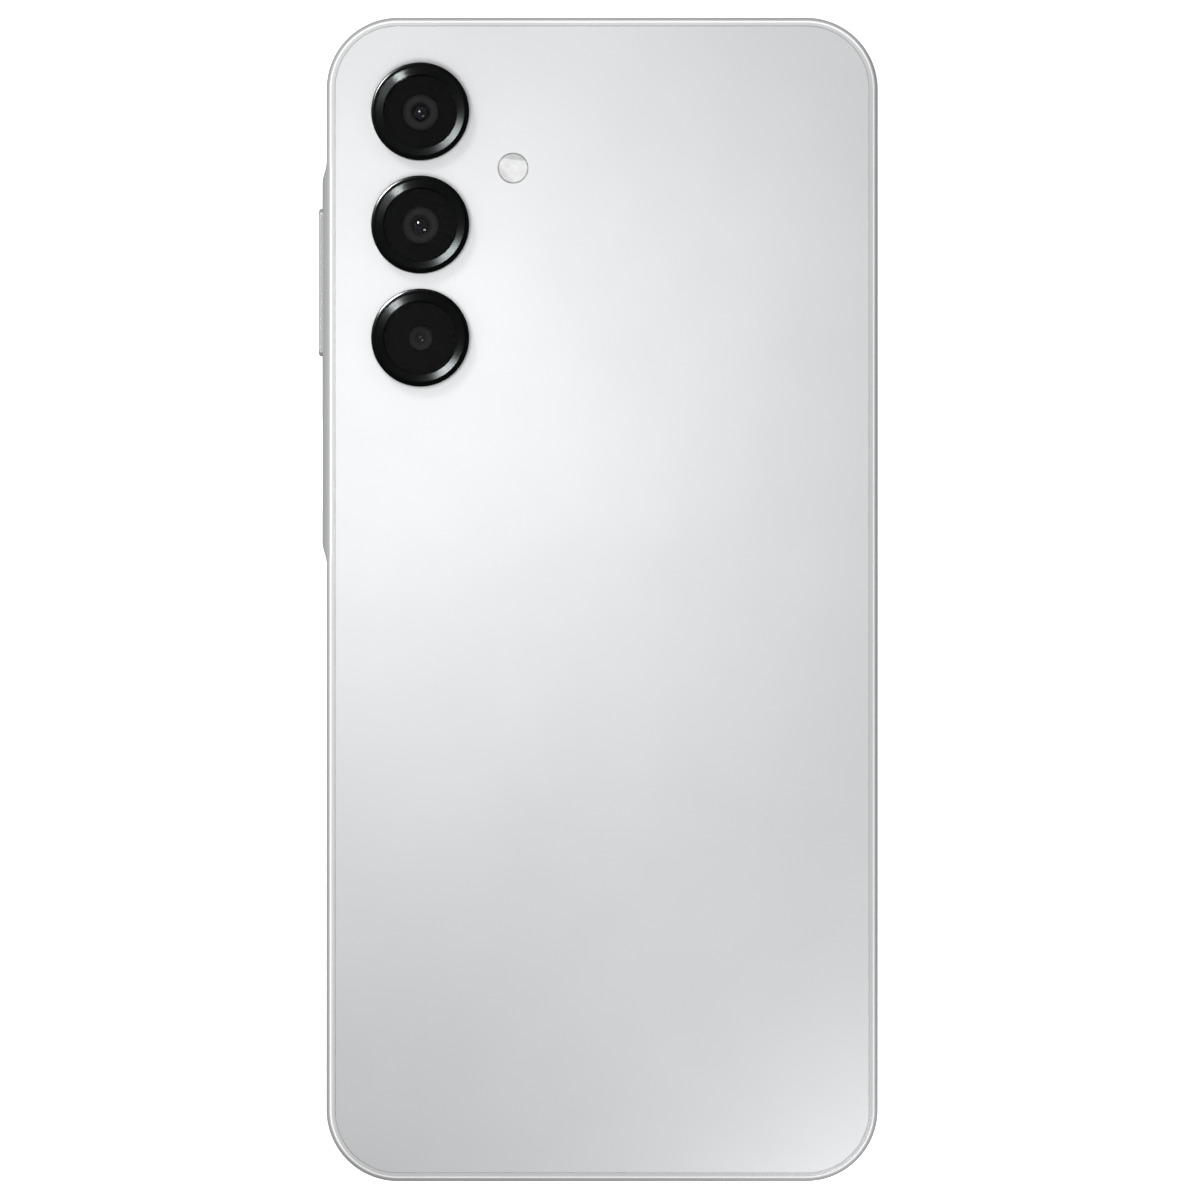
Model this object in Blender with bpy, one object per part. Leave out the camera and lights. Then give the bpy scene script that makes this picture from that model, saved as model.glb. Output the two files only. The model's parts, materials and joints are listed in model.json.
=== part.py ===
"""Smartphone, modelled as its separate pieces, lying on its screen.

Frame: +X is to the right and +Y is towards the phone's top edge when its back is looked at, +Z points
out of the back. The origin is the middle of the outer face of the screen glass, so the body lies
between Z = 0 and BODY_THICKNESS. Lengths are in metres, and MM makes them readable in millimetres.
"""

import math

import bmesh
import bpy
from mathutils import Matrix, Vector

MM = 0.001

# ---------------------------------------------------------------------------------------------
# Driving sizes
# ---------------------------------------------------------------------------------------------

BODY_WIDTH = 77.9 * MM
BODY_LENGTH = 164.4 * MM
BODY_THICKNESS = 7.9 * MM
CORNER_RADIUS = 10.1 * MM

STACK_GAP = 0.05 * MM  # between pieces that lie on each other
SIDE_GAP = 0.1 * MM  # round pieces that sit in a recess
KEY_GAP = 0.15 * MM  # round a key, in its slot
JOIN_OVERLAP = 0.1 * MM  # how far pieces run into each other where they are joined
CUT_PAST = 1.0 * MM  # how far a cutter runs past the faces it opens
CORNER_STEPS = 6  # facets in a quarter turn of a body corner
SMALL_STEPS = 2  # facets in a quarter turn of a small corner
ROUND_STEPS = 28  # facets in a full turn of a piece that shows
BARREL_STEPS = 16  # facets in a full turn of a small or hidden round piece

# Side frame: a moulded ring, its wall measured inwards from the silhouette
FRAME_WALL = 2.4 * MM
FRAME_REAR_EDGE = 0.8 * MM  # radius of the edge round the back
FRAME_FRONT_EDGE = 0.6 * MM  # radius of the edge round the screen
FRAME_EDGE_STEPS = 4
FRONT_LIP = 0.2 * MM  # the glass stands this far proud of the frame
COVER_SEAM = 1.3 * MM  # middle of the gap between frame and rear cover
GLASS_SEAM = 0.75 * MM  # middle of the gap between frame and screen glass
SCREEN_LEDGE_REACH = 2.5 * MM  # how far in the ledge under the glass reaches
SCREEN_LEDGE = 0.8 * MM  # thickness of that ledge
PLATE_GROOVE = 0.5 * MM  # how deep the chassis plate is held in the wall

# Raised island that carries the keys, on the -X side
ISLAND_RISE = 0.7 * MM
ISLAND_TOP = 20.3 * MM  # from the top edge to the start of the island
ISLAND_LENGTH = 56.8 * MM
ISLAND_RAMP = 3.0 * MM
ISLAND_RAMP_STEPS = 5

# Screen
GLASS_THICKNESS = 0.6 * MM
GLASS_EDGE = 0.25 * MM
ADHESIVE = 0.2 * MM
PANEL_THICKNESS = 0.85 * MM
NOTCH_RADIUS = 2.9 * MM
NOTCH_TO_TOP = 5.9 * MM  # front camera's axis, from the top edge

# Chassis plate
PLATE_THICKNESS = 0.6 * MM
RIB_WIDTH = 0.8 * MM
RIB_HEIGHT = 1.2 * MM

# Rear cover
COVER_THICKNESS = 0.8 * MM
COVER_EDGE = 0.12 * MM

# Rear cameras, in a column, and their rings
CAMERA_TO_TOP = 13.48 * MM  # axis of the first camera, from the top edge
CAMERA_TO_SIDE = 13.33 * MM  # the column's axis, from the -X side
CAMERA_PITCH = 15.93 * MM
RING_RADIUS = 6.91 * MM
RING_RISE = 1.6 * MM  # above the rear cover
RING_NECK_RADIUS = 6.2 * MM
RING_SEAT_RADIUS = 4.6 * MM
RING_BEVEL_RADIUS = 6.22 * MM  # outer edge of the wide inner bevel
RING_BEVEL_DROP = 0.38 * MM
RING_LAND = 0.27 * MM  # flat between the flange's rounded edge and the bevel
WINDOW_RADIUS = 5.14 * MM
WINDOW_THICKNESS = 0.55 * MM
FLASH_RADIUS = 2.14 * MM
FLASH_OFFSET = 13.05 * MM  # from the camera column to the flash, along X
FLASH_TO_TOP = 21.34 * MM
FLASH_DIMPLE_RADIUS = 0.8 * MM  # in the diffuser's underside
FLASH_DIMPLE = 0.1 * MM
FLASH_LED_SIDE = 2.6 * MM
FLASH_STEPS = 32

# Keys, on the island
KEY_HEIGHT_Z = 4.3 * MM  # their middle, above the screen's face
VOLUME_KEY_TO_TOP = 37.25 * MM  # its middle, from the top edge
VOLUME_KEY_LENGTH = 20.9 * MM
VOLUME_KEY_WIDTH = 2.3 * MM
VOLUME_KEY_RISE = 0.52 * MM  # above the island
POWER_KEY_TO_TOP = 63.2 * MM
POWER_KEY_LENGTH = 14.0 * MM
POWER_KEY_WIDTH = 2.7 * MM
POWER_KEY_SINK = 0.1 * MM  # below the island
KEY_SHOULDER = 1.1 * MM  # depth of the narrow part of a key's slot
KEY_FLANGE = 0.5 * MM
KEY_FLANGE_REACH = 0.8 * MM  # past each end of the key
KEY_FLANGE_SLACK = 0.35 * MM  # lets the far end of the rocking key lift
KEY_EDGE = 0.2 * MM
SENSOR_SKIN = 0.4 * MM  # of the power key, over its sensor
SENSOR_MARGIN = (1.5 * MM, 0.5 * MM)  # between the sensor's outline and the key's
PLUNGER_RADIUS = 0.7 * MM
PLUNGER_LENGTH = 0.45 * MM
PLUNGER_GAP = 0.05 * MM
VOLUME_PLUNGER_SPREAD = 14.4 * MM
DOME_RADIUS = 1.3 * MM
DOME_RISE = 0.22 * MM
DOME_RIM = 0.06 * MM
DOME_CROWN_RADIUS = 0.7 * MM
FLEX_THICKNESS = 0.15 * MM
BRACKET_THICKNESS = 0.28 * MM
BRACKET_REACH = 2.2 * MM  # past the outer ends of the two keys

# Card tray, in the +X side
TRAY_TO_TOP = 32.2 * MM
TRAY_DEPTH = 29.15 * MM
TRAY_WIDTH = 14.0 * MM
TRAY_THICKNESS = 0.7 * MM
TRAY_DOOR_REACH = 0.7 * MM  # of the door, past each side of the tray
TRAY_DOOR_HEIGHT = 2.2 * MM
TRAY_DOOR_DEPTH = 1.3 * MM
TRAY_RIM = 1.0 * MM
NANO_CARD = (9.0 * MM, 12.4 * MM)
MEMORY_CARD = (15.1 * MM, 11.2 * MM)
PIN_HOLE_RADIUS = 0.4 * MM
PIN_HOLE_INSET = 1.3 * MM  # from the door's end
SEAL_THICKNESS = 0.6 * MM
SOCKET_WALL = 0.15 * MM
SOCKET_SIDE = 0.6 * MM  # of the socket, past each side of the tray
SOCKET_BACK = 0.8 * MM  # past the tray's end
SOCKET_SETBACK = 0.3 * MM  # of its mouth, from the board's edge

# Bottom edge
PORT_WIDTH = 8.94 * MM
PORT_HEIGHT = 3.16 * MM
PORT_WALL = 0.3 * MM
PORT_DEPTH = 7.35 * MM
PORT_SINK = 0.35 * MM  # behind the frame's outer face
TONGUE_WIDTH = 6.7 * MM
TONGUE_THICKNESS = 0.7 * MM
TONGUE_BASE = 0.8 * MM
TONGUE_SINK = 1.0 * MM  # behind the port's mouth
SPEAKER_SLOTS = 5
SPEAKER_SLOT_LENGTH = 2.4 * MM
SPEAKER_SLOT_HEIGHT = 1.3 * MM
SPEAKER_SLOT_PITCH = 3.5 * MM
SPEAKER_SLOT_START = -10.5 * MM
MIC_RADIUS = 0.5 * MM
BOTTOM_MIC_X = 9.5 * MM
TOP_MIC_X = 12.0 * MM
EARPIECE_SLOT = 13.0 * MM
EARPIECE_SLOT_WIDTH = 0.34 * MM

# Battery
BATTERY_WIDTH = 66.0 * MM
BATTERY_LENGTH = 86.0 * MM
BATTERY_TO_TOP = 51.2 * MM
BATTERY_SHIFT = 1.0 * MM  # towards +X, to clear the keys
BATTERY_TOP_SPACE = 0.4 * MM  # under the rear cover
BATTERY_EDGE = 0.8 * MM
BATTERY_CORNER = 1.0 * MM

# Boards and the covers over them
BOARD_THICKNESS = 0.8 * MM
MAIN_BOARD_LIFT = 1.2 * MM  # above the chassis plate
SUB_BOARD_LIFT = 1.05 * MM
BOARD_EDGE_GAP = 0.35 * MM  # to the frame's wall
BOARD_TO_BATTERY = 1.2 * MM
SUB_BOARD_TO_BATTERY = 3.5 * MM
SUB_BOARD_START = -8.0 * MM
INNER_COVER_THICKNESS = 0.85 * MM
INNER_COVER_DROP = 1.15 * MM  # rear cover's outer face to the inner cover's top
INNER_COVER_SETBACKS = (0.8 * MM, 0.3 * MM)  # upper and lower, from the board's edge at the battery
BOARD_SMALL_CORNER = 0.5 * MM
CAMERA_CUTOUT_GAP = 0.3 * MM  # round a camera, in the main board
FRONT_CUTOUT_SIDE = 1.0 * MM  # beside the front camera
FRONT_CUTOUT_DEPTH = 4.3 * MM  # below the front camera's axis
FRONT_CUTOUT_END_X = 18.0 * MM
SHIELD_WALL = 0.2 * MM
SHIELD_TO_COVER = 0.2 * MM  # under the upper inner cover
SHIELD_TO_CAMERA = 3.4 * MM
SHIELD_TO_TRAY = 1.8 * MM
SHIELDS_START = 6.0 * MM  # from the main board's lower edge
RADIO_SHIELD_LENGTH = 7.5 * MM
SHIELD_SPACING = 1.0 * MM
PROCESSOR_SHIELD_LENGTH = 19.0 * MM
NFC_INSETS = (5.0 * MM, 6.0 * MM, 8.0 * MM, 9.0 * MM)  # from the flash, +X side, foot and top
NFC_WIDTH = 4.0 * MM
NFC_THICKNESS = 0.12 * MM

# Screws
SCREW_RADIUS = 0.65 * MM
SCREW_HEAD_RADIUS = 1.25 * MM
SCREW_HEAD = 0.5 * MM
SCREW_GAP = 0.15 * MM
SCREW_CROSS = (1.5 * MM, 0.3 * MM, 0.25 * MM)  # length, width and depth of its slots
SCREW_CHAMFER = (0.2 * MM, 0.1 * MM)  # across and down, round the head
SCREW_TIP_LIFT = 0.4 * MM  # above the chassis plate
SCREW_STEPS = 12
BOSS_RADIUS = 1.5 * MM

# Loudspeaker, vibration motor, earpiece and front camera
SPEAKER_WALL = 0.8 * MM
SPEAKER_TO_BOARD = 0.9 * MM
SPEAKER_DROP = 0.3 * MM  # of its case's top, below the inner cover's top
SPEAKER_LID = 0.45 * MM
DIAPHRAGM = (16.0 * MM, 11.0 * MM, 0.25 * MM)
DRIVER_HEIGHT = 2.0 * MM
DRIVER_FLOOR = 1.0 * MM
DRIVER_RIM = 1.0 * MM  # of the driver, round the diaphragm
DRIVER_CORNER = 1.0 * MM
COIL_SPACE_INSET = 1.5 * MM  # from the diaphragm's outline
DIAPHRAGM_CORNER = 2.0 * MM
DIAPHRAGM_TRAVEL = 0.3 * MM
DUCT_DEPTH = 2.0 * MM
MOTOR_RADIUS = 4.0 * MM
MOTOR_HEIGHT = 2.65 * MM
MOTOR_WALL = 0.25 * MM
MOTOR_SHAFT_RADIUS = 0.4 * MM
ROTOR_HUB_RADIUS = 1.3 * MM
ROTOR_BORE_GAP = 0.08 * MM
MOTOR_TO_SIDE = 9.95 * MM  # its axis, from the +X side
MOTOR_TO_BOTTOM = 13.7 * MM
EARPIECE_SIZE = (11.0 * MM, 5.0 * MM, 2.5 * MM)
FRONT_CAMERA_SIDE = 6.2 * MM
FRONT_CAMERA_HEIGHT = 2.9 * MM
FRONT_CAMERA_CORNER = 0.4 * MM
FRONT_CAMERA_SHIFT = 0.4 * MM  # of its block, below the lens's axis
FRONT_LENS_RADIUS = 1.9 * MM
FRONT_MOUTH = 0.8  # share of the lens's radius, at its funnel's mouth
FRONT_ELEMENT = 0.5  # and at its foot
FRONT_FUNNEL = (0.4 * MM, 0.3 * MM)  # depth of the front element's rim and middle
FRONT_BARREL_SINK = 0.5 * MM
EARPIECE_TO_CAMERA = 2.4 * MM
MESH_GAP = 0.06 * MM

# Rear camera bodies
CAMERA_CORNER = 0.5 * MM
MAIN_CAMERA_FLOOR = 1.2 * MM
SNOUT_STEPS = (0.5 * MM, 0.4 * MM)  # of the main and the small barrels, at the snout
BARREL_SINK = 0.5 * MM  # of a small camera's barrel, in its block
FUNNEL_MOUTH = 0.75  # share of the snout's radius
FUNNEL_FOOT = 0.4
FUNNEL_DEPTHS = (0.5 * MM, 0.35 * MM)  # of the front element's rim and middle
MAIN_CAMERA_SIDE = 9.6 * MM
MAIN_BARREL_RADIUS = 3.4 * MM
FOCUS_TRAVEL = 0.3 * MM
WIDE_CAMERA_SIDE = 8.4 * MM
WIDE_BARREL_RADIUS = 3.0 * MM
MACRO_CAMERA_SIDE = 6.5 * MM
MACRO_BARREL_RADIUS = 2.2 * MM

# Coaxial lead and flexible circuits
CABLE_DIAMETER = 0.8 * MM
CABLE_TO_SIDE = 3.55 * MM  # its run beside the battery, from the +X side
CABLE_STEPS = 3  # between two points of its route
FLEX_LIFT = 0.7 * MM  # of a flexible circuit, above the board it ends on
FLEX_REACH = 4.2 * MM  # over that board
FLEX_BEND = 0.5 * MM
FLEX_SLOT_SHIFT = 0.35 * MM  # of the display circuit's slot, towards the bottom edge
PLUG_INSET = 1.6 * MM  # from the board's edge
PLUG_LENGTH = 2.4 * MM
PLUG_SIDE = 0.8 * MM  # of the circuit, past each side of its plug
DISPLAY_FLEX_XS = (10.5 * MM, 20.0 * MM)
DISPLAY_FLEX_THICKNESS = 0.1 * MM
DISPLAY_FLEX_TO_BOTTOM = 9.0 * MM
MAIN_FLEX_XS = (22.5 * MM, 30.0 * MM)
MAIN_FLEX_THICKNESS = 0.12 * MM
MAIN_FLEX_RUN_OUT = 0.9 * MM  # of its lower bend, short of the sub board
LEAD_XS = (-6.0 * MM, 2.0 * MM)
LEAD_THICKNESS = 0.3 * MM

# ---------------------------------------------------------------------------------------------
# Levels and places that follow from them
# ---------------------------------------------------------------------------------------------

HALF_WIDTH = BODY_WIDTH / 2
HALF_LENGTH = BODY_LENGTH / 2
ISLAND_X = -HALF_WIDTH - ISLAND_RISE
CAVITY_X = HALF_WIDTH - FRAME_WALL  # inner faces of the frame's wall
CAVITY_Y = HALF_LENGTH - FRAME_WALL

SCREEN_LEDGE_Z = GLASS_THICKNESS + ADHESIVE + 2 * STACK_GAP
PANEL_Z = GLASS_THICKNESS + STACK_GAP
PANEL_TOP_Z = PANEL_Z + PANEL_THICKNESS
PLATE_Z = SCREEN_LEDGE_Z + SCREEN_LEDGE + STACK_GAP
PLATE_TOP_Z = PLATE_Z + PLATE_THICKNESS
FLOOR_Z = PLATE_TOP_Z + STACK_GAP * 2  # what stands on the plate starts here
COVER_Z = BODY_THICKNESS - COVER_THICKNESS
COVER_LEDGE_Z = COVER_Z - ADHESIVE - STACK_GAP
INNER_COVER_TOP_Z = BODY_THICKNESS - INNER_COVER_DROP
INNER_COVER_Z = INNER_COVER_TOP_Z - INNER_COVER_THICKNESS
MAIN_BOARD_Z = PLATE_TOP_Z + MAIN_BOARD_LIFT
MAIN_BOARD_TOP_Z = MAIN_BOARD_Z + BOARD_THICKNESS
SUB_BOARD_Z = PLATE_TOP_Z + SUB_BOARD_LIFT
SUB_BOARD_TOP_Z = SUB_BOARD_Z + BOARD_THICKNESS
BATTERY_TOP_Z = COVER_Z - BATTERY_TOP_SPACE
OVER_BATTERY_Z = BATTERY_TOP_Z + STACK_GAP
PORT_Z = (FRONT_LIP + BODY_THICKNESS) / 2

CAMERA_X = CAMERA_TO_SIDE - HALF_WIDTH
CAMERA_YS = [HALF_LENGTH - CAMERA_TO_TOP - i * CAMERA_PITCH for i in range(3)]
WIDE_Y, MAIN_Y, MACRO_Y = CAMERA_YS
FLASH_X = CAMERA_X + FLASH_OFFSET
FLASH_Y = HALF_LENGTH - FLASH_TO_TOP
RING_Z = BODY_THICKNESS + STACK_GAP
RING_TOP_Z = BODY_THICKNESS + RING_RISE
BEVEL_FOOT_Z = RING_TOP_Z - RING_BEVEL_DROP
WINDOW_Z = BEVEL_FOOT_Z - STACK_GAP - WINDOW_THICKNESS
RING_SEAT_Z = WINDOW_Z - STACK_GAP
RING_FOOT_Z = INNER_COVER_TOP_Z + 4 * STACK_GAP

BATTERY_TOP_Y = HALF_LENGTH - BATTERY_TO_TOP
BATTERY_FOOT_Y = BATTERY_TOP_Y - BATTERY_LENGTH
BATTERY_SIDES = [BATTERY_SHIFT + side * BATTERY_WIDTH / 2 for side in (-1, 1)]
BOARD_X = CAVITY_X - BOARD_EDGE_GAP
BOARD_Y = CAVITY_Y - BOARD_EDGE_GAP
MAIN_BOARD_FOOT_Y = BATTERY_TOP_Y + BOARD_TO_BATTERY
SUB_BOARD_TOP_Y = BATTERY_FOOT_Y - SUB_BOARD_TO_BATTERY
BOARD_CORNER = CORNER_RADIUS - FRAME_WALL - BOARD_EDGE_GAP

VOLUME_Y = HALF_LENGTH - VOLUME_KEY_TO_TOP
POWER_Y = HALF_LENGTH - POWER_KEY_TO_TOP
KEY_FLANGE_X = ISLAND_X + KEY_SHOULDER + KEY_FLANGE_SLACK
KEY_BACK_X = KEY_FLANGE_X + KEY_FLANGE
PLUNGER_TIP_X = KEY_BACK_X + PLUNGER_LENGTH
DOME_TOP_X = PLUNGER_TIP_X + PLUNGER_GAP
FLEX_X = DOME_TOP_X + DOME_RISE + STACK_GAP
BRACKET_X = FLEX_X + FLEX_THICKNESS + STACK_GAP
BRACKET_WIDTH = POWER_KEY_WIDTH + 2 * SIDE_GAP
BRACKET_YS = [
    POWER_Y - POWER_KEY_LENGTH / 2 - BRACKET_REACH,
    VOLUME_Y + VOLUME_KEY_LENGTH / 2 + BRACKET_REACH,
]

TRAY_Y = HALF_LENGTH - TRAY_TO_TOP
TRAY_Z = MAIN_BOARD_TOP_Z + STACK_GAP + SOCKET_WALL + SIDE_GAP
TRAY_MIDDLE_Z = TRAY_Z + TRAY_THICKNESS / 2
TRAY_END_X = HALF_WIDTH - TRAY_DEPTH
TRAY_DOOR_LENGTH = TRAY_WIDTH + 2 * TRAY_DOOR_REACH

SPEAKER_SIDE_X = SUB_BOARD_START - SPEAKER_TO_BOARD
SPEAKER_CENTRE = ((SPEAKER_SIDE_X - BOARD_X) / 2, (SUB_BOARD_TOP_Y - BOARD_Y) / 2)
SPEAKER_TOP_Z = INNER_COVER_TOP_Z - SPEAKER_DROP
DRIVER_Z = FLOOR_Z + SPEAKER_WALL + STACK_GAP
DIAPHRAGM_Z = DRIVER_Z + DRIVER_HEIGHT + DIAPHRAGM_TRAVEL + STACK_GAP
MOTOR_X = HALF_WIDTH - MOTOR_TO_SIDE
MOTOR_Y = MOTOR_TO_BOTTOM - HALF_LENGTH
NOTCH_Y = HALF_LENGTH - NOTCH_TO_TOP
FLEX_SLOT_Y = (SUB_BOARD_TOP_Y + BATTERY_FOOT_Y) / 2 - FLEX_SLOT_SHIFT

UPPER_SCREWS = [
    (-HALF_WIDTH + 6.45 * MM, HALF_LENGTH - 7.0 * MM),
    (HALF_WIDTH - 7.0 * MM, HALF_LENGTH - 6.8 * MM),
    (-HALF_WIDTH + 5.2 * MM, (MAIN_Y + MACRO_Y) / 2),
    (17.5 * MM, MAIN_BOARD_FOOT_Y + 4.3 * MM),
]
LOWER_SCREWS = [
    (HALF_WIDTH - 7.4 * MM, 6.2 * MM - HALF_LENGTH),
    (SUB_BOARD_START + 2.7 * MM, SUB_BOARD_TOP_Y - 3.4 * MM),
]


# ---------------------------------------------------------------------------------------------
# Outlines: lists of points in a plane, anticlockwise
# ---------------------------------------------------------------------------------------------


def arc(centre, radius, start, end, steps):
    """Points along an arc, from start to end in degrees, both ends included."""
    angles = [math.radians(start + (end - start) * i / steps) for i in range(steps + 1)]
    return [(centre[0] + radius * math.cos(a), centre[1] + radius * math.sin(a)) for a in angles]


def circle(centre, radius, steps=BARREL_STEPS):
    return arc(centre, radius, 0, 360, steps)[:-1]


def rectangle(low, high, radii=(0, 0, 0, 0), steps=SMALL_STEPS):
    """Rectangle between two corners. radii are for the corners at low, right, high and left."""
    corners = [(low[0], low[1]), (high[0], low[1]), (high[0], high[1]), (low[0], high[1])]
    inward = [(1, 1), (-1, 1), (-1, -1), (1, -1)]
    points = []
    for i, (corner, way, radius) in enumerate(zip(corners, inward, radii)):
        if radius <= 0:
            points.append(corner)
            continue
        centre = (corner[0] + way[0] * radius, corner[1] + way[1] * radius)
        points += arc(centre, radius, 180 + 90 * i, 270 + 90 * i, steps)
    return points


def box_outline(centre, width, length, radius=0, steps=SMALL_STEPS):
    low = (centre[0] - width / 2, centre[1] - length / 2)
    high = (centre[0] + width / 2, centre[1] + length / 2)
    return rectangle(low, high, (radius,) * 4, steps)


def slot(centre, length, width, steps=4):
    """A rectangle with fully round ends, long along the plane's first axis."""
    half = length / 2 - width / 2
    right = arc((centre[0] + half, centre[1]), width / 2, -90, 90, 2 * steps)
    left = arc((centre[0] - half, centre[1]), width / 2, 90, 270, 2 * steps)
    return right + left


def body_outline(inset):
    """The phone's silhouette without its island, moved inwards."""
    return box_outline(
        (0, 0),
        BODY_WIDTH - 2 * inset,
        BODY_LENGTH - 2 * inset,
        CORNER_RADIUS - inset,
        CORNER_STEPS,
    )


# ---------------------------------------------------------------------------------------------
# Solids
# ---------------------------------------------------------------------------------------------


def material(name, colour, roughness, metallic=0.0):
    """The material of that name, made on first use."""
    found = bpy.data.materials.get(name)
    if found:
        return found
    made = bpy.data.materials.new(name)
    made.use_nodes = True
    made.diffuse_color = (*colour, 1)
    shader = made.node_tree.nodes["Principled BSDF"]
    shader.inputs["Base Color"].default_value = (*colour, 1)
    shader.inputs["Roughness"].default_value = roughness
    shader.inputs["Metallic"].default_value = metallic
    return made


FRAME_PLASTIC = ("frame_silver", (0.72, 0.73, 0.75), 0.28)
COVER_PLASTIC = ("cover_silver", (0.78, 0.79, 0.81), 0.15)
KEY_PLASTIC = ("key_silver", (0.68, 0.69, 0.71), 0.3)
BLACK_METAL = ("black_metal", (0.02, 0.02, 0.022), 0.25, 0.8)
BLACK_GLASS = ("black_glass", (0.01, 0.01, 0.012), 0.05)
BLACK_PLASTIC = ("black_plastic", (0.03, 0.03, 0.03), 0.5)
GREY_PLASTIC = ("grey_plastic", (0.12, 0.12, 0.13), 0.5)
CLEAR_PLASTIC = ("clear_plastic", (0.9, 0.9, 0.88), 0.2)
DIE_CAST = ("die_cast", (0.5, 0.5, 0.5), 0.5, 0.9)
STEEL = ("steel", (0.6, 0.6, 0.58), 0.3, 1.0)
COPPER = ("copper_film", (0.45, 0.26, 0.1), 0.4, 0.6)
BOARD_GREEN = ("board_green", (0.02, 0.12, 0.08), 0.5)
FLEX_BROWN = ("flex_brown", (0.16, 0.07, 0.02), 0.45)
BATTERY_BLACK = ("battery_wrap", (0.05, 0.05, 0.055), 0.55)
RUBBER = ("rubber", (0.05, 0.05, 0.05), 0.8)
LED_YELLOW = ("led_phosphor", (0.8, 0.7, 0.2), 0.6)


def node(name, mesh, look):
    """An object of its own, with its material, smooth where its faces nearly meet flat."""
    made = bpy.data.objects.new(name, mesh)
    bpy.context.scene.collection.objects.link(made)
    made.data.materials.append(material(*look))
    made.data.shade_smooth()
    made.data.set_sharp_from_angle(angle=math.radians(32))
    return made


def mesh_of(name, shape):
    """A mesh from a bmesh, welded and with its faces turned outwards."""
    bmesh.ops.remove_doubles(shape, verts=shape.verts, dist=1e-7)
    bmesh.ops.recalc_face_normals(shape, faces=shape.faces)
    mesh = bpy.data.meshes.new(name)
    shape.to_mesh(mesh)
    shape.free()
    return mesh


PLANES = {
    "XY": lambda u, v, w: (u, v, w),
    "YZ": lambda u, v, w: (w, u, v),
    "XZ": lambda u, v, w: (u, w, v),
}


def prism(name, outline, start, end, look, plane="XY"):
    """An outline in a plane, extruded from start to end along the third axis."""
    place = PLANES[plane]
    shape = bmesh.new()
    face = shape.faces.new([shape.verts.new(place(u, v, start)) for u, v in outline])
    along = Vector(place(0, 0, end - start))
    extruded = bmesh.ops.extrude_face_region(shape, geom=[face], use_keep_orig=True)["geom"]
    moved = [item for item in extruded if isinstance(item, bmesh.types.BMVert)]
    bmesh.ops.translate(shape, verts=moved, vec=along)
    return node(name, mesh_of(name, shape), look)


def band(name, outer, inner, start, end, look):
    """What lies between two outlines with the same number of points, from start to end along Z."""
    shape = bmesh.new()
    loops = [
        [shape.verts.new((*point, height)) for point in outline]
        for outline, height in ((outer, start), (outer, end), (inner, end), (inner, start))
    ]
    count = len(outer)
    for k, loop in enumerate(loops):
        following = loops[(k + 1) % 4]
        for i in range(count):
            j = (i + 1) % count
            shape.faces.new((loop[i], loop[j], following[j], following[i]))
    return node(name, mesh_of(name, shape), look)


def turned(name, profile, centre, look, steps=BARREL_STEPS, axis=(0, 0, 1), across=(1, 0, 0)):
    """A profile of (radius, height) points turned about an axis through centre.

    A profile that starts and ends on the axis is closed by it, and any other by its own last side.
    """
    centre, axis, across = Vector(centre), Vector(axis), Vector(across)
    shape = bmesh.new()
    verts = [shape.verts.new(centre + across * r + axis * h) for r, h in profile]
    edges = [shape.edges.new(pair) for pair in zip(verts, verts[1:])]
    if profile[0][0] > 0 or profile[-1][0] > 0:
        edges.append(shape.edges.new((verts[-1], verts[0])))
    bmesh.ops.spin(
        shape,
        geom=verts + edges,
        cent=centre,
        axis=axis,
        angle=2 * math.pi,
        steps=steps,
        use_merge=True,
    )
    return node(name, mesh_of(name, shape), look)


def strip(name, side_a, side_b, line, thickness, look):
    """A thin ribbon between X = side_a and side_b, whose middle follows a line of (y, z) points."""
    points = [Vector(point) for point in line]
    ways = [(b - a).normalized() for a, b in zip(points, points[1:])]
    left, right = [], []
    for i, point in enumerate(points):
        before, after = ways[max(i - 1, 0)], ways[min(i, len(ways) - 1)]
        middle = (before + after).normalized()
        normal = Vector((-middle.y, middle.x))
        reach = thickness / 2 / max(normal.dot(Vector((-before.y, before.x))), 0.5)
        left.append(tuple(point + normal * reach))
        right.append(tuple(point - normal * reach))
    return prism(name, left + right[::-1], side_a, side_b, look, "YZ")


def set_origin(obj, point):
    """Puts an object's origin on its joint's axis and leaves its shape where it is."""
    obj.data.transform(Matrix.Translation(-Vector(point)))
    obj.location = point
    return obj


def carry(parent, child):
    """Parents a piece to the moving one that it is fixed to, both with the same origin."""
    set_origin(child, parent.location)
    child.parent = parent
    child.location = (0, 0, 0)


def helper(obj):
    """Marks an object that only shapes others."""
    obj.hide_render = True
    obj.display_type = "WIRE"
    return obj


def combine(obj, tool, operation):
    modifier = obj.modifiers.new(tool.name, "BOOLEAN")
    modifier.operation = operation
    modifier.object = helper(tool)
    return obj


def cut(obj, *cutters):
    for cutter in cutters:
        combine(obj, cutter, "DIFFERENCE")
    return obj


def join(obj, *others):
    for other in others:
        combine(obj, other, "UNION")
    return obj


def soften(obj, width, segments=2, angle=50):
    """Rounds an object's sharp edges."""
    modifier = obj.modifiers.new("edges", "BEVEL")
    modifier.width = width
    modifier.segments = segments
    modifier.limit_method = "ANGLE"
    modifier.angle_limit = math.radians(angle)
    return obj


# ---------------------------------------------------------------------------------------------
# Side frame
# ---------------------------------------------------------------------------------------------


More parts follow.
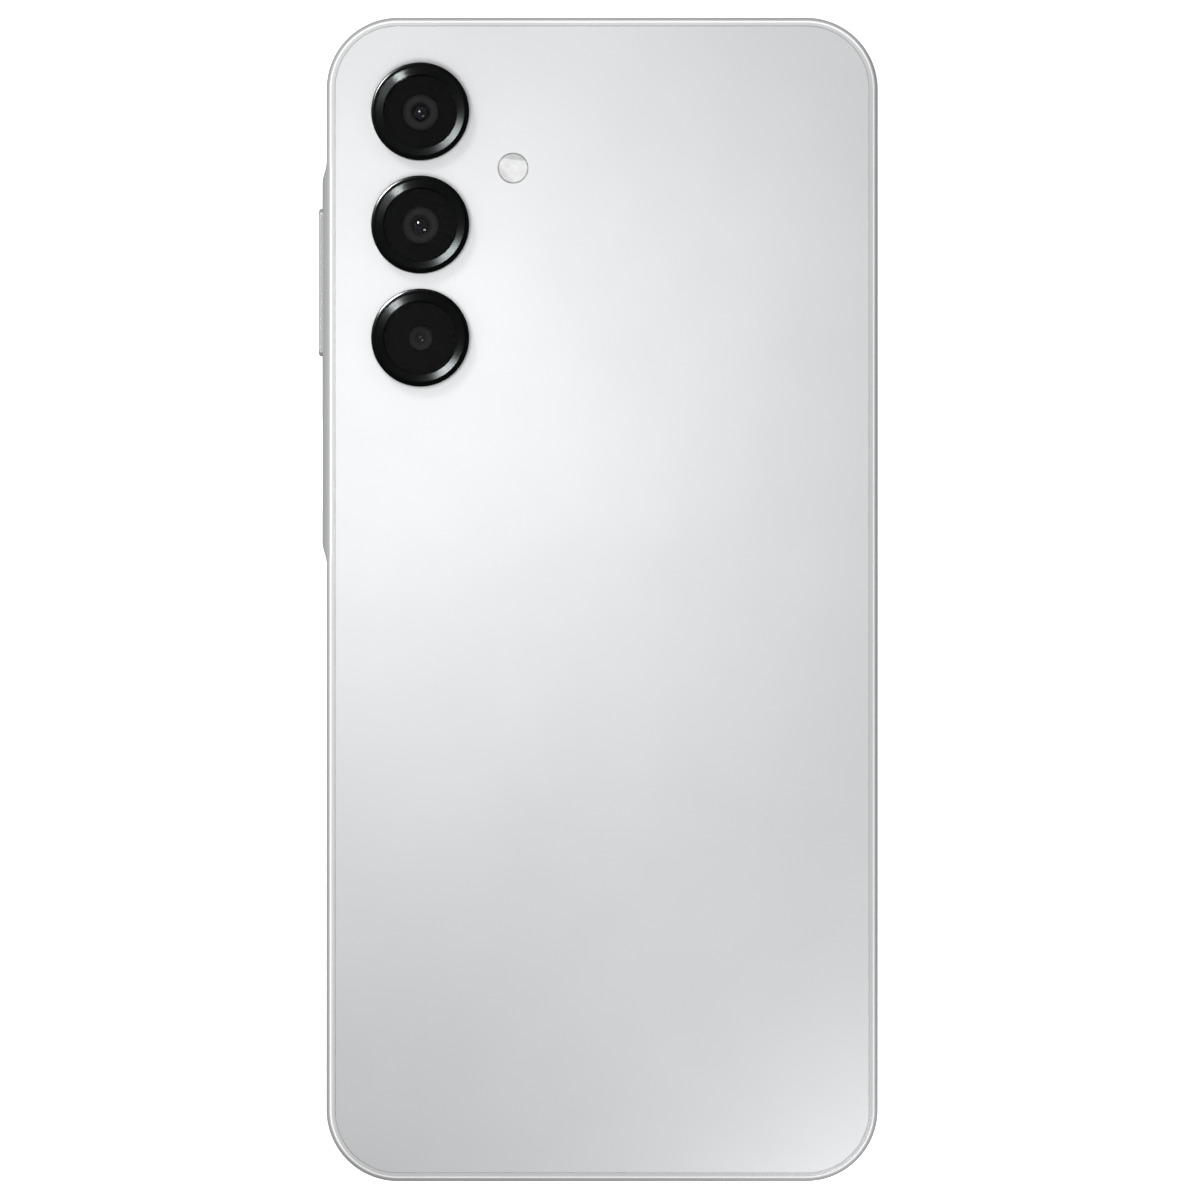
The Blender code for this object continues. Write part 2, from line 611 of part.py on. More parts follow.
def frame_section(rise):
    """The wall's section as (inset, z) points, on a stretch that stands out by rise."""
    front, rear = FRAME_FRONT_EDGE + rise, FRAME_REAR_EDGE + rise
    glass_side = GLASS_SEAM - SIDE_GAP / 2
    cover_side = COVER_SEAM - SIDE_GAP / 2
    groove_x = FRAME_WALL - PLATE_GROOVE
    groove_top = PLATE_TOP_Z + STACK_GAP
    ledge_top = SCREEN_LEDGE_Z + SCREEN_LEDGE
    front_edge = arc((FRAME_FRONT_EDGE, FRONT_LIP + front), front, 270, 180, FRAME_EDGE_STEPS)
    rear_edge = arc((FRAME_REAR_EDGE, BODY_THICKNESS - rear), rear, 180, 90, FRAME_EDGE_STEPS)
    return [
        (glass_side, SCREEN_LEDGE_Z),
        (glass_side, FRONT_LIP),
        *front_edge,
        *rear_edge,
        (cover_side, BODY_THICKNESS),
        (cover_side, COVER_LEDGE_Z),
        (FRAME_WALL, COVER_LEDGE_Z),
        (FRAME_WALL, groove_top),
        (groove_x, groove_top),
        (groove_x, ledge_top),
        (SCREEN_LEDGE_REACH, ledge_top),
        (SCREEN_LEDGE_REACH, SCREEN_LEDGE_Z),
    ]


def island_rises():
    """(y, rise) down the -X side, where the island starts, ramps, runs and ends."""
    top = HALF_LENGTH - ISLAND_TOP
    foot = top - ISLAND_LENGTH
    shares = [i / ISLAND_RAMP_STEPS for i in range(ISLAND_RAMP_STEPS + 1)]
    ramp = [(s * ISLAND_RAMP, ISLAND_RISE * s * s * (3 - 2 * s)) for s in shares]
    down = [(top - distance, rise) for distance, rise in ramp]
    up = [(foot + distance, rise) for distance, rise in reversed(ramp)]
    return down + up


def frame_stations():
    """(corner centre or side point, outward way, distance to the silhouette, rise) round the phone."""
    straight_x, straight_y = HALF_WIDTH - CORNER_RADIUS, HALF_LENGTH - CORNER_RADIUS
    stations = []
    for index, (sx, sy) in enumerate(((1, -1), (1, 1), (-1, 1), (-1, -1))):
        if index == 3:
            for y, rise in island_rises():
                stations.append(((-straight_x, y), (-1, 0), CORNER_RADIUS, rise))
        centre = (sx * straight_x, sy * straight_y)
        for step in range(CORNER_STEPS + 1):
            angle = math.radians(270 + 90 * index + 90 * step / CORNER_STEPS)
            way = (math.cos(angle), math.sin(angle))
            stations.append((centre, way, CORNER_RADIUS, 0.0))
    return stations


def frame_ring():
    shape = bmesh.new()
    rings = []
    for centre, way, reach, rise in frame_stations():
        points = [
            (centre[0] + way[0] * (reach - inset), centre[1] + way[1] * (reach - inset), z)
            for inset, z in frame_section(rise)
        ]
        rings.append([shape.verts.new(point) for point in points])
    count = len(rings[0])
    for k, ring in enumerate(rings):
        following = rings[(k + 1) % len(rings)]
        for i in range(count):
            j = (i + 1) % count
            shape.faces.new((ring[i], ring[j], following[j], following[i]))
    return node("side_frame", mesh_of("side_frame", shape), FRAME_PLASTIC)


def key_cutters(name, y, length, width):
    """A key's slot through the island and the wider pocket behind its shoulder."""
    shoulder = ISLAND_X + KEY_SHOULDER
    outline = slot((y, KEY_HEIGHT_Z), length + 2 * KEY_GAP, width + 2 * KEY_GAP)
    slot_xs = (ISLAND_X - CUT_PAST, shoulder + JOIN_OVERLAP)
    through = prism(f"{name}_slot", outline, *slot_xs, FRAME_PLASTIC, "YZ")
    pocket_length = length + 2 * KEY_FLANGE_REACH + 4 * KEY_GAP
    pocket = box_outline((y, KEY_HEIGHT_Z), pocket_length, width + 3 * KEY_GAP)
    behind = prism(f"{name}_pocket", pocket, shoulder, -CAVITY_X + CUT_PAST, FRAME_PLASTIC, "YZ")
    return through, behind


def side_frame():
    frame = frame_ring()
    cut(frame, *key_cutters("volume", VOLUME_Y, VOLUME_KEY_LENGTH, VOLUME_KEY_WIDTH))
    cut(frame, *key_cutters("power", POWER_Y, POWER_KEY_LENGTH, POWER_KEY_WIDTH))

    low = (BRACKET_YS[0] - SIDE_GAP, KEY_HEIGHT_Z - BRACKET_WIDTH / 2 - SIDE_GAP)
    high = (BRACKET_YS[1] + SIDE_GAP, KEY_HEIGHT_Z + BRACKET_WIDTH / 2 + SIDE_GAP)
    pocket_xs = (FLEX_X - DOME_RISE, -CAVITY_X + CUT_PAST)
    cut(frame, prism("bracket_pocket", rectangle(low, high), *pocket_xs, FRAME_PLASTIC, "YZ"))

    door = slot(
        (TRAY_Y, TRAY_MIDDLE_Z), TRAY_DOOR_LENGTH + 2 * SIDE_GAP, TRAY_DOOR_HEIGHT + 2 * SIDE_GAP
    )
    cut(frame, prism("tray_slot", door, CAVITY_X - CUT_PAST, HALF_WIDTH + CUT_PAST, FRAME_PLASTIC, "YZ"))

    wall = (-HALF_LENGTH - CUT_PAST, -CAVITY_Y + CUT_PAST)
    port = slot((0, PORT_Z), PORT_WIDTH + 2 * KEY_GAP, PORT_HEIGHT + 2 * KEY_GAP)
    cut(frame, prism("port_opening", port, *wall, FRAME_PLASTIC, "XZ"))
    for i in range(SPEAKER_SLOTS):
        centre = (SPEAKER_SLOT_START - i * SPEAKER_SLOT_PITCH, PORT_Z)
        hole = slot(centre, SPEAKER_SLOT_LENGTH, SPEAKER_SLOT_HEIGHT, 3)
        cut(frame, prism(f"speaker_slot_{i}", hole, *wall, FRAME_PLASTIC, "XZ"))
    mic = circle((BOTTOM_MIC_X, PORT_Z), MIC_RADIUS, 12)
    cut(frame, prism("bottom_mic", mic, *wall, FRAME_PLASTIC, "XZ"))
    top_mic = circle((TOP_MIC_X, PORT_Z), MIC_RADIUS, 12)
    top_wall = (CAVITY_Y - CUT_PAST, HALF_LENGTH + CUT_PAST)
    cut(frame, prism("top_mic", top_mic, *top_wall, FRAME_PLASTIC, "XZ"))

    glass_side = HALF_LENGTH - GLASS_SEAM
    notch = rectangle(
        (-EARPIECE_SLOT / 2, glass_side - SIDE_GAP),
        (EARPIECE_SLOT / 2, glass_side + EARPIECE_SLOT_WIDTH),
    )
    cut(frame, prism("earpiece_slot", notch, -CUT_PAST, SCREEN_LEDGE_Z - SIDE_GAP, FRAME_PLASTIC))
    return frame


# ---------------------------------------------------------------------------------------------
# Screen, chassis plate and rear cover
# ---------------------------------------------------------------------------------------------


def screen():
    glass = prism(
        "display_glass", body_outline(GLASS_SEAM + SIDE_GAP / 2), 0, GLASS_THICKNESS, BLACK_GLASS
    )
    soften(glass, GLASS_EDGE)

    low = GLASS_THICKNESS + STACK_GAP
    outer, inner = GLASS_SEAM + 2 * SIDE_GAP, SCREEN_LEDGE_REACH - SIDE_GAP
    band("display_gasket", body_outline(outer), body_outline(inner), low, low + ADHESIVE, RUBBER)

    inset = SCREEN_LEDGE_REACH + SIDE_GAP
    panel = prism("display_panel", body_outline(inset), PANEL_Z, PANEL_TOP_Z, BLACK_GLASS)
    low = (-NOTCH_RADIUS, NOTCH_Y)
    high = (NOTCH_RADIUS, HALF_LENGTH)
    notch = prism("notch_sides", rectangle(low, high), 0, PLATE_Z, BLACK_GLASS)
    bottom = prism(
        "notch_round", circle((0, NOTCH_Y), NOTCH_RADIUS), -SIDE_GAP, PLATE_Z + SIDE_GAP, BLACK_GLASS
    )
    cut(panel, notch, bottom)


def plug(name, flex, xs, near_y, board_top):
    """A flexible circuit's plug on a board, from near_y towards +Y, joined to the circuit."""
    outline = rectangle((xs[0] + PLUG_SIDE, near_y), (xs[1] - PLUG_SIDE, near_y + PLUG_LENGTH))
    low, high = board_top + STACK_GAP, board_top + FLEX_LIFT
    join(flex, prism(name, outline, low, high, FLEX_BROWN))


def display_flex():
    """Runs under the plate, up through its slot and over onto the sub board."""
    under = (PANEL_TOP_Z + PLATE_Z) / 2
    over = SUB_BOARD_TOP_Z + FLEX_LIFT
    line = [
        (DISPLAY_FLEX_TO_BOTTOM - HALF_LENGTH, under),
        (FLEX_SLOT_Y - FLEX_BEND, under),
        (FLEX_SLOT_Y, under + FLEX_BEND),
        (FLEX_SLOT_Y, over - FLEX_BEND),
        (FLEX_SLOT_Y - FLEX_BEND, over),
        (SUB_BOARD_TOP_Y - FLEX_REACH, over),
    ]
    flex = strip("display_flex", *DISPLAY_FLEX_XS, line, DISPLAY_FLEX_THICKNESS, FLEX_BROWN)
    near_y = SUB_BOARD_TOP_Y - PLUG_INSET - PLUG_LENGTH
    plug("display_plug", flex, DISPLAY_FLEX_XS, near_y, SUB_BOARD_TOP_Z)


def boss(name, place, top):
    """A screw boss on the plate, and the cutter for its bore."""
    post = prism(f"{name}_boss", circle(place, BOSS_RADIUS), PLATE_TOP_Z - JOIN_OVERLAP, top, DIE_CAST)
    bore_foot = PLATE_Z + PLATE_THICKNESS / 2
    bore = circle(place, SCREW_RADIUS + SIDE_GAP, SCREW_STEPS)
    return post, prism(f"{name}_bore", bore, bore_foot, top + CUT_PAST, DIE_CAST)


def chassis_plate():
    inset = FRAME_WALL - PLATE_GROOVE + SIDE_GAP
    plate = prism("chassis_plate", body_outline(inset), PLATE_Z, PLATE_TOP_Z, DIE_CAST)

    rib_top = PLATE_TOP_Z + RIB_HEIGHT
    inner = box_outline(
        (BATTERY_SHIFT, (BATTERY_TOP_Y + BATTERY_FOOT_Y) / 2),
        BATTERY_WIDTH + 4 * SIDE_GAP,
        BATTERY_LENGTH + 4 * SIDE_GAP,
    )
    outer = box_outline(
        (BATTERY_SHIFT, (BATTERY_TOP_Y + BATTERY_FOOT_Y) / 2),
        BATTERY_WIDTH + 4 * SIDE_GAP + 2 * RIB_WIDTH,
        BATTERY_LENGTH + 4 * SIDE_GAP + 2 * RIB_WIDTH,
    )
    join(plate, band("battery_rib", outer, inner, PLATE_TOP_Z - JOIN_OVERLAP, rib_top, DIE_CAST))

    posts = [boss(f"upper_{i}", at, MAIN_BOARD_Z - STACK_GAP) for i, at in enumerate(UPPER_SCREWS)]
    posts += [boss(f"lower_{i}", at, SUB_BOARD_Z - STACK_GAP) for i, at in enumerate(LOWER_SCREWS)]
    join(plate, *[post for post, _ in posts])
    cut(plate, *[bore for _, bore in posts])

    lens = circle((0, NOTCH_Y), FRONT_LENS_RADIUS + 4 * SIDE_GAP)
    cut(plate, prism("front_lens_hole", lens, PLATE_Z - CUT_PAST, PLATE_TOP_Z + CUT_PAST, DIE_CAST))
    flex_slot = rectangle(
        (DISPLAY_FLEX_XS[0] - FLEX_BEND, FLEX_SLOT_Y - FLEX_BEND),
        (DISPLAY_FLEX_XS[1] + FLEX_BEND, FLEX_SLOT_Y + FLEX_BEND),
    )
    cut(plate, prism("flex_slot", flex_slot, PLATE_Z - CUT_PAST, PLATE_TOP_Z + CUT_PAST, DIE_CAST))


def rear_cover():
    outline = body_outline(COVER_SEAM + SIDE_GAP / 2)
    cover = prism("rear_cover", outline, COVER_Z, BODY_THICKNESS, COVER_PLASTIC)
    soften(cover, COVER_EDGE, 1)
    through = (COVER_Z - CUT_PAST, BODY_THICKNESS + CUT_PAST)
    for i, y in enumerate(CAMERA_YS):
        hole = circle((CAMERA_X, y), RING_NECK_RADIUS + KEY_GAP, ROUND_STEPS)
        cut(cover, prism(f"ring_hole_{i}", hole, *through, COVER_PLASTIC))
    hole = circle((FLASH_X, FLASH_Y), FLASH_RADIUS + SIDE_GAP)
    cut(cover, prism("flash_hole", hole, *through, COVER_PLASTIC))

    low = COVER_LEDGE_Z + STACK_GAP
    outer, inner = COVER_SEAM + SIDE_GAP, FRAME_WALL - STACK_GAP
    height = low + ADHESIVE - STACK_GAP
    band("cover_gasket", body_outline(outer), body_outline(inner), low, height, RUBBER)


# ---------------------------------------------------------------------------------------------
# Rear cameras and flash
# ---------------------------------------------------------------------------------------------


def camera_ring(name, y):
    """The trim ring: a neck through the cover, a round-edged flange and a wide inner bevel."""
    bore = WINDOW_RADIUS + SIDE_GAP
    edge = RING_RADIUS - RING_BEVEL_RADIUS - RING_LAND
    profile = [
        (RING_SEAT_RADIUS, RING_FOOT_Z),
        (RING_NECK_RADIUS, RING_FOOT_Z),
        (RING_NECK_RADIUS, RING_Z),
        (RING_RADIUS, RING_Z),
        *arc((RING_RADIUS - edge, RING_TOP_Z - edge), edge, 0, 90, 3),
        (RING_BEVEL_RADIUS, RING_TOP_Z),
        (bore, BEVEL_FOOT_Z),
        (bore, RING_SEAT_Z),
        (RING_SEAT_RADIUS, RING_SEAT_Z),
    ]
    turned(f"camera_ring_{name}", profile, (CAMERA_X, y, 0), BLACK_METAL, ROUND_STEPS)


def camera_window(name, y):
    top = WINDOW_Z + WINDOW_THICKNESS
    profile = [
        (0, WINDOW_Z),
        (WINDOW_RADIUS, WINDOW_Z),
        (WINDOW_RADIUS, top - STACK_GAP),
        (WINDOW_RADIUS - STACK_GAP, top),
        (0, top),
    ]
    turned(f"camera_window_{name}", profile, (CAMERA_X, y, 0), BLACK_GLASS, ROUND_STEPS)


def barrel_profile(radius, snout, foot, shoulder, top):
    """A lens barrel: a body, a narrower snout, and a funnel down to its front element."""
    return [
        (0, foot),
        (radius, foot),
        (radius, shoulder),
        (snout, shoulder),
        (snout, top),
        (snout * FUNNEL_MOUTH, top),
        (snout * FUNNEL_FOOT, top - FUNNEL_DEPTHS[0]),
        (0, top - FUNNEL_DEPTHS[1]),
    ]


def rear_cameras():
    lens_top = WINDOW_Z - FOCUS_TRAVEL - SIDE_GAP
    centre = (CAMERA_X, MAIN_Y)
    main = prism(
        "main_camera",
        box_outline(centre, MAIN_CAMERA_SIDE, MAIN_CAMERA_SIDE, CAMERA_CORNER),
        FLOOR_Z,
        INNER_COVER_TOP_Z,
        GREY_PLASTIC,
    )
    bore = circle(centre, MAIN_BARREL_RADIUS + KEY_GAP)
    bore_foot = FLOOR_Z + MAIN_CAMERA_FLOOR
    above = INNER_COVER_TOP_Z + CUT_PAST
    cut(main, prism("main_camera_bore", bore, bore_foot, above, GREY_PLASTIC))
    lens = turned(
        "main_camera_lens",
        barrel_profile(
            MAIN_BARREL_RADIUS,
            MAIN_BARREL_RADIUS - SNOUT_STEPS[0],
            bore_foot + SIDE_GAP,
            INNER_COVER_TOP_Z,
            lens_top,
        ),
        (*centre, 0),
        BLACK_PLASTIC,
    )
    set_origin(lens, (*centre, bore_foot))

    small = (
        ("ultrawide_camera", WIDE_Y, WIDE_CAMERA_SIDE, WIDE_BARREL_RADIUS, FLOOR_Z),
        ("macro_camera", MACRO_Y, MACRO_CAMERA_SIDE, MACRO_BARREL_RADIUS, MAIN_BOARD_TOP_Z + STACK_GAP),
    )
    for name, y, side, radius, foot in small:
        shoulder = INNER_COVER_Z - STACK_GAP
        base = prism(
            name, box_outline((CAMERA_X, y), side, side, CAMERA_CORNER), foot, shoulder, GREY_PLASTIC
        )
        snout, sunk = radius - SNOUT_STEPS[1], shoulder - BARREL_SINK
        barrel = turned(
            f"{name}_barrel",
            barrel_profile(radius, snout, sunk, INNER_COVER_TOP_Z, lens_top),
            (CAMERA_X, y, 0),
            GREY_PLASTIC,
        )
        join(base, barrel)


def flash():
    """The diffuser in the rear cover, and the light source on the inner cover below it."""
    foot = COVER_Z + SIDE_GAP
    profile = [
        (0, foot + FLASH_DIMPLE),
        (FLASH_DIMPLE_RADIUS, foot),
        (FLASH_RADIUS, foot),
        (FLASH_RADIUS, BODY_THICKNESS - STACK_GAP),
        (FLASH_RADIUS - STACK_GAP, BODY_THICKNESS),
        (0, BODY_THICKNESS),
    ]
    turned("flash_window", profile, (FLASH_X, FLASH_Y, 0), CLEAR_PLASTIC, FLASH_STEPS)
    outline = box_outline((FLASH_X, FLASH_Y), FLASH_LED_SIDE, FLASH_LED_SIDE)
    led_foot = INNER_COVER_TOP_Z + STACK_GAP
    prism("flash_led", outline, led_foot, COVER_Z - STACK_GAP, LED_YELLOW)


# ---------------------------------------------------------------------------------------------
# Keys
# ---------------------------------------------------------------------------------------------


def key_cap(name, y, length, width, face_x):
    """A key's cap, with the flange that keeps it in its slot."""
    shape = slot((y, KEY_HEIGHT_Z), length, width)
    cap = prism(name, shape, face_x, KEY_FLANGE_X + JOIN_OVERLAP, KEY_PLASTIC, "YZ")
    outline = box_outline((y, KEY_HEIGHT_Z), length + 2 * KEY_FLANGE_REACH, width + KEY_GAP)
    flange = prism(f"{name}_flange", outline, KEY_FLANGE_X, KEY_BACK_X, KEY_PLASTIC, "YZ")
    soften(cap, KEY_EDGE)
    join(cap, flange)
    return cap


def plunger(name, y, start_x):
    outline = circle((y, KEY_HEIGHT_Z), PLUNGER_RADIUS, SCREW_STEPS)
    return prism(name, outline, start_x, PLUNGER_TIP_X, KEY_PLASTIC, "YZ")


def dome(name, y):
    """A snap dome, seen as a shallow turned cap on the flexible circuit."""
    profile = [
        (0, 0),
        (DOME_RADIUS, 0),
        (DOME_RADIUS, DOME_RIM),
        (DOME_CROWN_RADIUS, DOME_RISE),
        (0, DOME_RISE),
    ]
    turned(
        name,
        profile,
        (DOME_TOP_X + DOME_RISE, y, KEY_HEIGHT_Z),
        STEEL,
        BARREL_STEPS,
        axis=(-1, 0, 0),
        across=(0, 1, 0),
    )


def keys():
    volume_ys = [VOLUME_Y + side * VOLUME_PLUNGER_SPREAD / 2 for side in (1, -1)]
    volume = key_cap(
        "volume_key", VOLUME_Y, VOLUME_KEY_LENGTH, VOLUME_KEY_WIDTH, ISLAND_X - VOLUME_KEY_RISE
    )
    for i, y in enumerate(volume_ys):
        join(volume, plunger(f"volume_plunger_{i}", y, KEY_FLANGE_X))
    set_origin(volume, (KEY_FLANGE_X, VOLUME_Y, KEY_HEIGHT_Z))

    power = key_cap(
        "power_key", POWER_Y, POWER_KEY_LENGTH, POWER_KEY_WIDTH, ISLAND_X + POWER_KEY_SINK
    )
    skin_x = ISLAND_X + POWER_KEY_SINK + SENSOR_SKIN
    sensor_length = POWER_KEY_LENGTH - 2 * SENSOR_MARGIN[0]
    sensor_width = POWER_KEY_WIDTH - 2 * SENSOR_MARGIN[1]
    nest = box_outline((POWER_Y, KEY_HEIGHT_Z), sensor_length, sensor_width)
    cut(power, prism("sensor_nest", nest, skin_x, KEY_BACK_X + CUT_PAST, KEY_PLASTIC, "YZ"))
    outline = box_outline(
        (POWER_Y, KEY_HEIGHT_Z), sensor_length - 2 * SIDE_GAP, sensor_width - 2 * SIDE_GAP
    )
    sensor = prism(
        "fingerprint_sensor", outline, skin_x + STACK_GAP, KEY_BACK_X, BLACK_PLASTIC, "YZ"
    )
    join(sensor, plunger("power_plunger", POWER_Y, KEY_FLANGE_X))
    set_origin(power, (KEY_FLANGE_X, POWER_Y, KEY_HEIGHT_Z))
    carry(power, sensor)

    for name, y in zip(("volume_up_dome", "volume_down_dome"), volume_ys):
        dome(name, y)
    dome("power_dome", POWER_Y)

    low = (BRACKET_YS[0], KEY_HEIGHT_Z - BRACKET_WIDTH / 2)
    high = (BRACKET_YS[1], KEY_HEIGHT_Z + BRACKET_WIDTH / 2)
    outline = rectangle(low, high)
    prism("key_flex", outline, FLEX_X, FLEX_X + FLEX_THICKNESS, FLEX_BROWN, "YZ")
    prism("key_bracket", outline, BRACKET_X, BRACKET_X + BRACKET_THICKNESS, STEEL, "YZ")


# ---------------------------------------------------------------------------------------------
# Card tray
# ---------------------------------------------------------------------------------------------


def card_tray():
    door_x = HALF_WIDTH - TRAY_DOOR_DEPTH
    door = slot((TRAY_Y, TRAY_MIDDLE_Z), TRAY_DOOR_LENGTH, TRAY_DOOR_HEIGHT)
    tray = prism("sim_tray", door, door_x, HALF_WIDTH, FRAME_PLASTIC, "YZ")

    low = (TRAY_END_X, TRAY_Y - TRAY_WIDTH / 2)
    high = (door_x + JOIN_OVERLAP, TRAY_Y + TRAY_WIDTH / 2)
    plate = prism("tray_plate", rectangle(low, high), TRAY_Z, TRAY_Z + TRAY_THICKNESS, FRAME_PLASTIC)
    join(tray, plate)

    start = TRAY_END_X + TRAY_RIM
    for name, (depth, width) in (("nano_window", NANO_CARD), ("memory_window", MEMORY_CARD)):
        window = rectangle((start, TRAY_Y - width / 2), (start + depth, TRAY_Y + width / 2))
        cut(tray, prism(name, window, TRAY_Z - CUT_PAST, TRAY_Z + CUT_PAST, FRAME_PLASTIC))
        start += depth + TRAY_RIM
    pin_y = TRAY_Y - TRAY_DOOR_LENGTH / 2 + PIN_HOLE_INSET
    hole = circle((pin_y, TRAY_MIDDLE_Z), PIN_HOLE_RADIUS, SCREW_STEPS)
    through = (door_x - JOIN_OVERLAP, HALF_WIDTH + CUT_PAST)
    cut(tray, prism("pin_hole", hole, *through, FRAME_PLASTIC, "YZ"))
    set_origin(tray, (HALF_WIDTH, TRAY_Y, TRAY_MIDDLE_Z))

    seal_outer = slot((TRAY_Y, TRAY_MIDDLE_Z), TRAY_DOOR_LENGTH, TRAY_DOOR_HEIGHT)
    seal_x = (door_x - SIDE_GAP - SEAL_THICKNESS, door_x - SIDE_GAP)
    seal = prism("sim_tray_seal", seal_outer, *seal_x, RUBBER, "YZ")
    hole = box_outline(
        (TRAY_Y, TRAY_MIDDLE_Z), TRAY_WIDTH + 2 * SIDE_GAP, TRAY_THICKNESS + 2 * SIDE_GAP
    )
    cut(seal, prism("seal_hole", hole, seal_x[0] - CUT_PAST, seal_x[1] + CUT_PAST, RUBBER, "YZ"))
    carry(tray, seal)

    socket_low = TRAY_Z - SIDE_GAP - SOCKET_WALL
    socket_high = TRAY_Z + TRAY_THICKNESS + SIDE_GAP + SOCKET_WALL
    outer_low = (TRAY_END_X - SOCKET_BACK, TRAY_Y - TRAY_WIDTH / 2 - SOCKET_SIDE)
    outer_high = (BOARD_X - SOCKET_SETBACK, TRAY_Y + TRAY_WIDTH / 2 + SOCKET_SIDE)
    socket = prism("sim_socket", rectangle(outer_low, outer_high), socket_low, socket_high, STEEL)
    inner_low = (TRAY_END_X - KEY_GAP, TRAY_Y - TRAY_WIDTH / 2 - KEY_GAP)
    inner_high = (BOARD_X + CUT_PAST, TRAY_Y + TRAY_WIDTH / 2 + KEY_GAP)
    cavity = rectangle(inner_low, inner_high)
    space = (TRAY_Z - SIDE_GAP, TRAY_Z + TRAY_THICKNESS + SIDE_GAP)
    cut(socket, prism("socket_cavity", cavity, *space, STEEL))


# ---------------------------------------------------------------------------------------------
# Battery, boards and their covers
# ---------------------------------------------------------------------------------------------


def battery():
    low = (BATTERY_SIDES[0], BATTERY_FOOT_Y)
    high = (BATTERY_SIDES[1], BATTERY_TOP_Y)
    outline = rectangle(low, high, (BATTERY_CORNER,) * 4)
    cell = prism("battery", outline, FLOOR_Z, BATTERY_TOP_Z, BATTERY_BLACK)
    soften(cell, BATTERY_EDGE)

    over = MAIN_BOARD_TOP_Z + FLEX_LIFT
    line = [(BATTERY_TOP_Y + SIDE_GAP, over), (MAIN_BOARD_FOOT_Y + FLEX_REACH, over)]
    lead = strip("battery_lead", *LEAD_XS, line, LEAD_THICKNESS, FLEX_BROWN)
    plug("battery_plug", lead, LEAD_XS, MAIN_BOARD_FOOT_Y + PLUG_INSET, MAIN_BOARD_TOP_Z)


def screw_holes(name, places, low, high, look):
    outlines = [circle(place, SCREW_RADIUS + SCREW_GAP, SCREW_STEPS) for place in places]
    return [prism(f"{name}_{i}", outline, low, high, look) for i, outline in enumerate(outlines)]


def main_board():
    radii = (BOARD_SMALL_CORNER, BOARD_SMALL_CORNER, BOARD_CORNER, BOARD_CORNER)
    outline = rectangle((-BOARD_X, MAIN_BOARD_FOOT_Y), (BOARD_X, BOARD_Y), radii, CORNER_STEPS)
    board = prism("main_board", outline, MAIN_BOARD_Z, MAIN_BOARD_TOP_Z, BOARD_GREEN)
    through = (MAIN_BOARD_Z - CUT_PAST / 2, MAIN_BOARD_TOP_Z + CUT_PAST / 2)
    for name, y, side in (
        ("wide_cutout", WIDE_Y, WIDE_CAMERA_SIDE),
        ("main_cutout", MAIN_Y, MAIN_CAMERA_SIDE),
    ):
        opening = side + 2 * CAMERA_CUTOUT_GAP
        hole = box_outline((CAMERA_X, y), opening, opening)
        cut(board, prism(name, hole, *through, BOARD_GREEN))
    low = (-FRONT_CAMERA_SIDE / 2 - FRONT_CUTOUT_SIDE, NOTCH_Y - FRONT_CUTOUT_DEPTH)
    notch = rectangle(low, (FRONT_CUTOUT_END_X, HALF_LENGTH))
    cut(board, prism("front_notch", notch, *through, BOARD_GREEN))
    cut(board, *screw_holes("board_hole", UPPER_SCREWS, *through, BOARD_GREEN))


def shield_can(name, low, high):
    """A drawn metal can, open underneath."""
    foot = MAIN_BOARD_TOP_Z + STACK_GAP
    top = INNER_COVER_Z - SHIELD_TO_COVER
    can = prism(name, rectangle(low, high, (BOARD_SMALL_CORNER,) * 4), foot, top, STEEL)
    inside = rectangle(
        (low[0] + SHIELD_WALL, low[1] + SHIELD_WALL), (high[0] - SHIELD_WALL, high[1] - SHIELD_WALL)
    )
    cut(can, prism(f"{name}_inside", inside, foot - CUT_PAST, top - SHIELD_WALL, STEEL))


def shields():
    left = CAMERA_X + MAIN_CAMERA_SIDE / 2 + SHIELD_TO_CAMERA
    right = TRAY_END_X - SHIELD_TO_TRAY
    radio_low = MAIN_BOARD_FOOT_Y + SHIELDS_START
    radio_high = radio_low + RADIO_SHIELD_LENGTH
    processor_low = radio_high + SHIELD_SPACING
    processor_high = processor_low + PROCESSOR_SHIELD_LENGTH
    shield_can("processor_shield", (left, processor_low), (right, processor_high))
    shield_can("radio_shield", (left, radio_low), (right, radio_high))


def posts(name, places, low, high):
    return [
        prism(f"{name}_{i}", circle(place, BOSS_RADIUS), low, high, BLACK_PLASTIC)
        for i, place in enumerate(places)
    ]


def head_recesses(name, places):
    seat = INNER_COVER_TOP_Z - SCREW_HEAD - STACK_GAP
    outlines = [circle(place, SCREW_HEAD_RADIUS + SIDE_GAP) for place in places]
    return [
        prism(f"{name}_{i}", outline, seat, COVER_Z, BLACK_PLASTIC)
        for i, outline in enumerate(outlines)
    ]


def inner_cover(name, outline, places, board_top):
    """A plastic bracket over a board, with posts down to it round the screws."""
    cover = prism(name, outline, INNER_COVER_Z, INNER_COVER_TOP_Z, BLACK_PLASTIC)
    join(cover, *posts(f"{name}_post", places, board_top + STACK_GAP, INNER_COVER_Z + JOIN_OVERLAP))
    through = (board_top - CUT_PAST / 2, INNER_COVER_TOP_Z + CUT_PAST / 2)
    cut(cover, *screw_holes(f"{name}_hole", places, *through, BLACK_PLASTIC))
    cut(cover, *head_recesses(f"{name}_recess", places))
    return cover


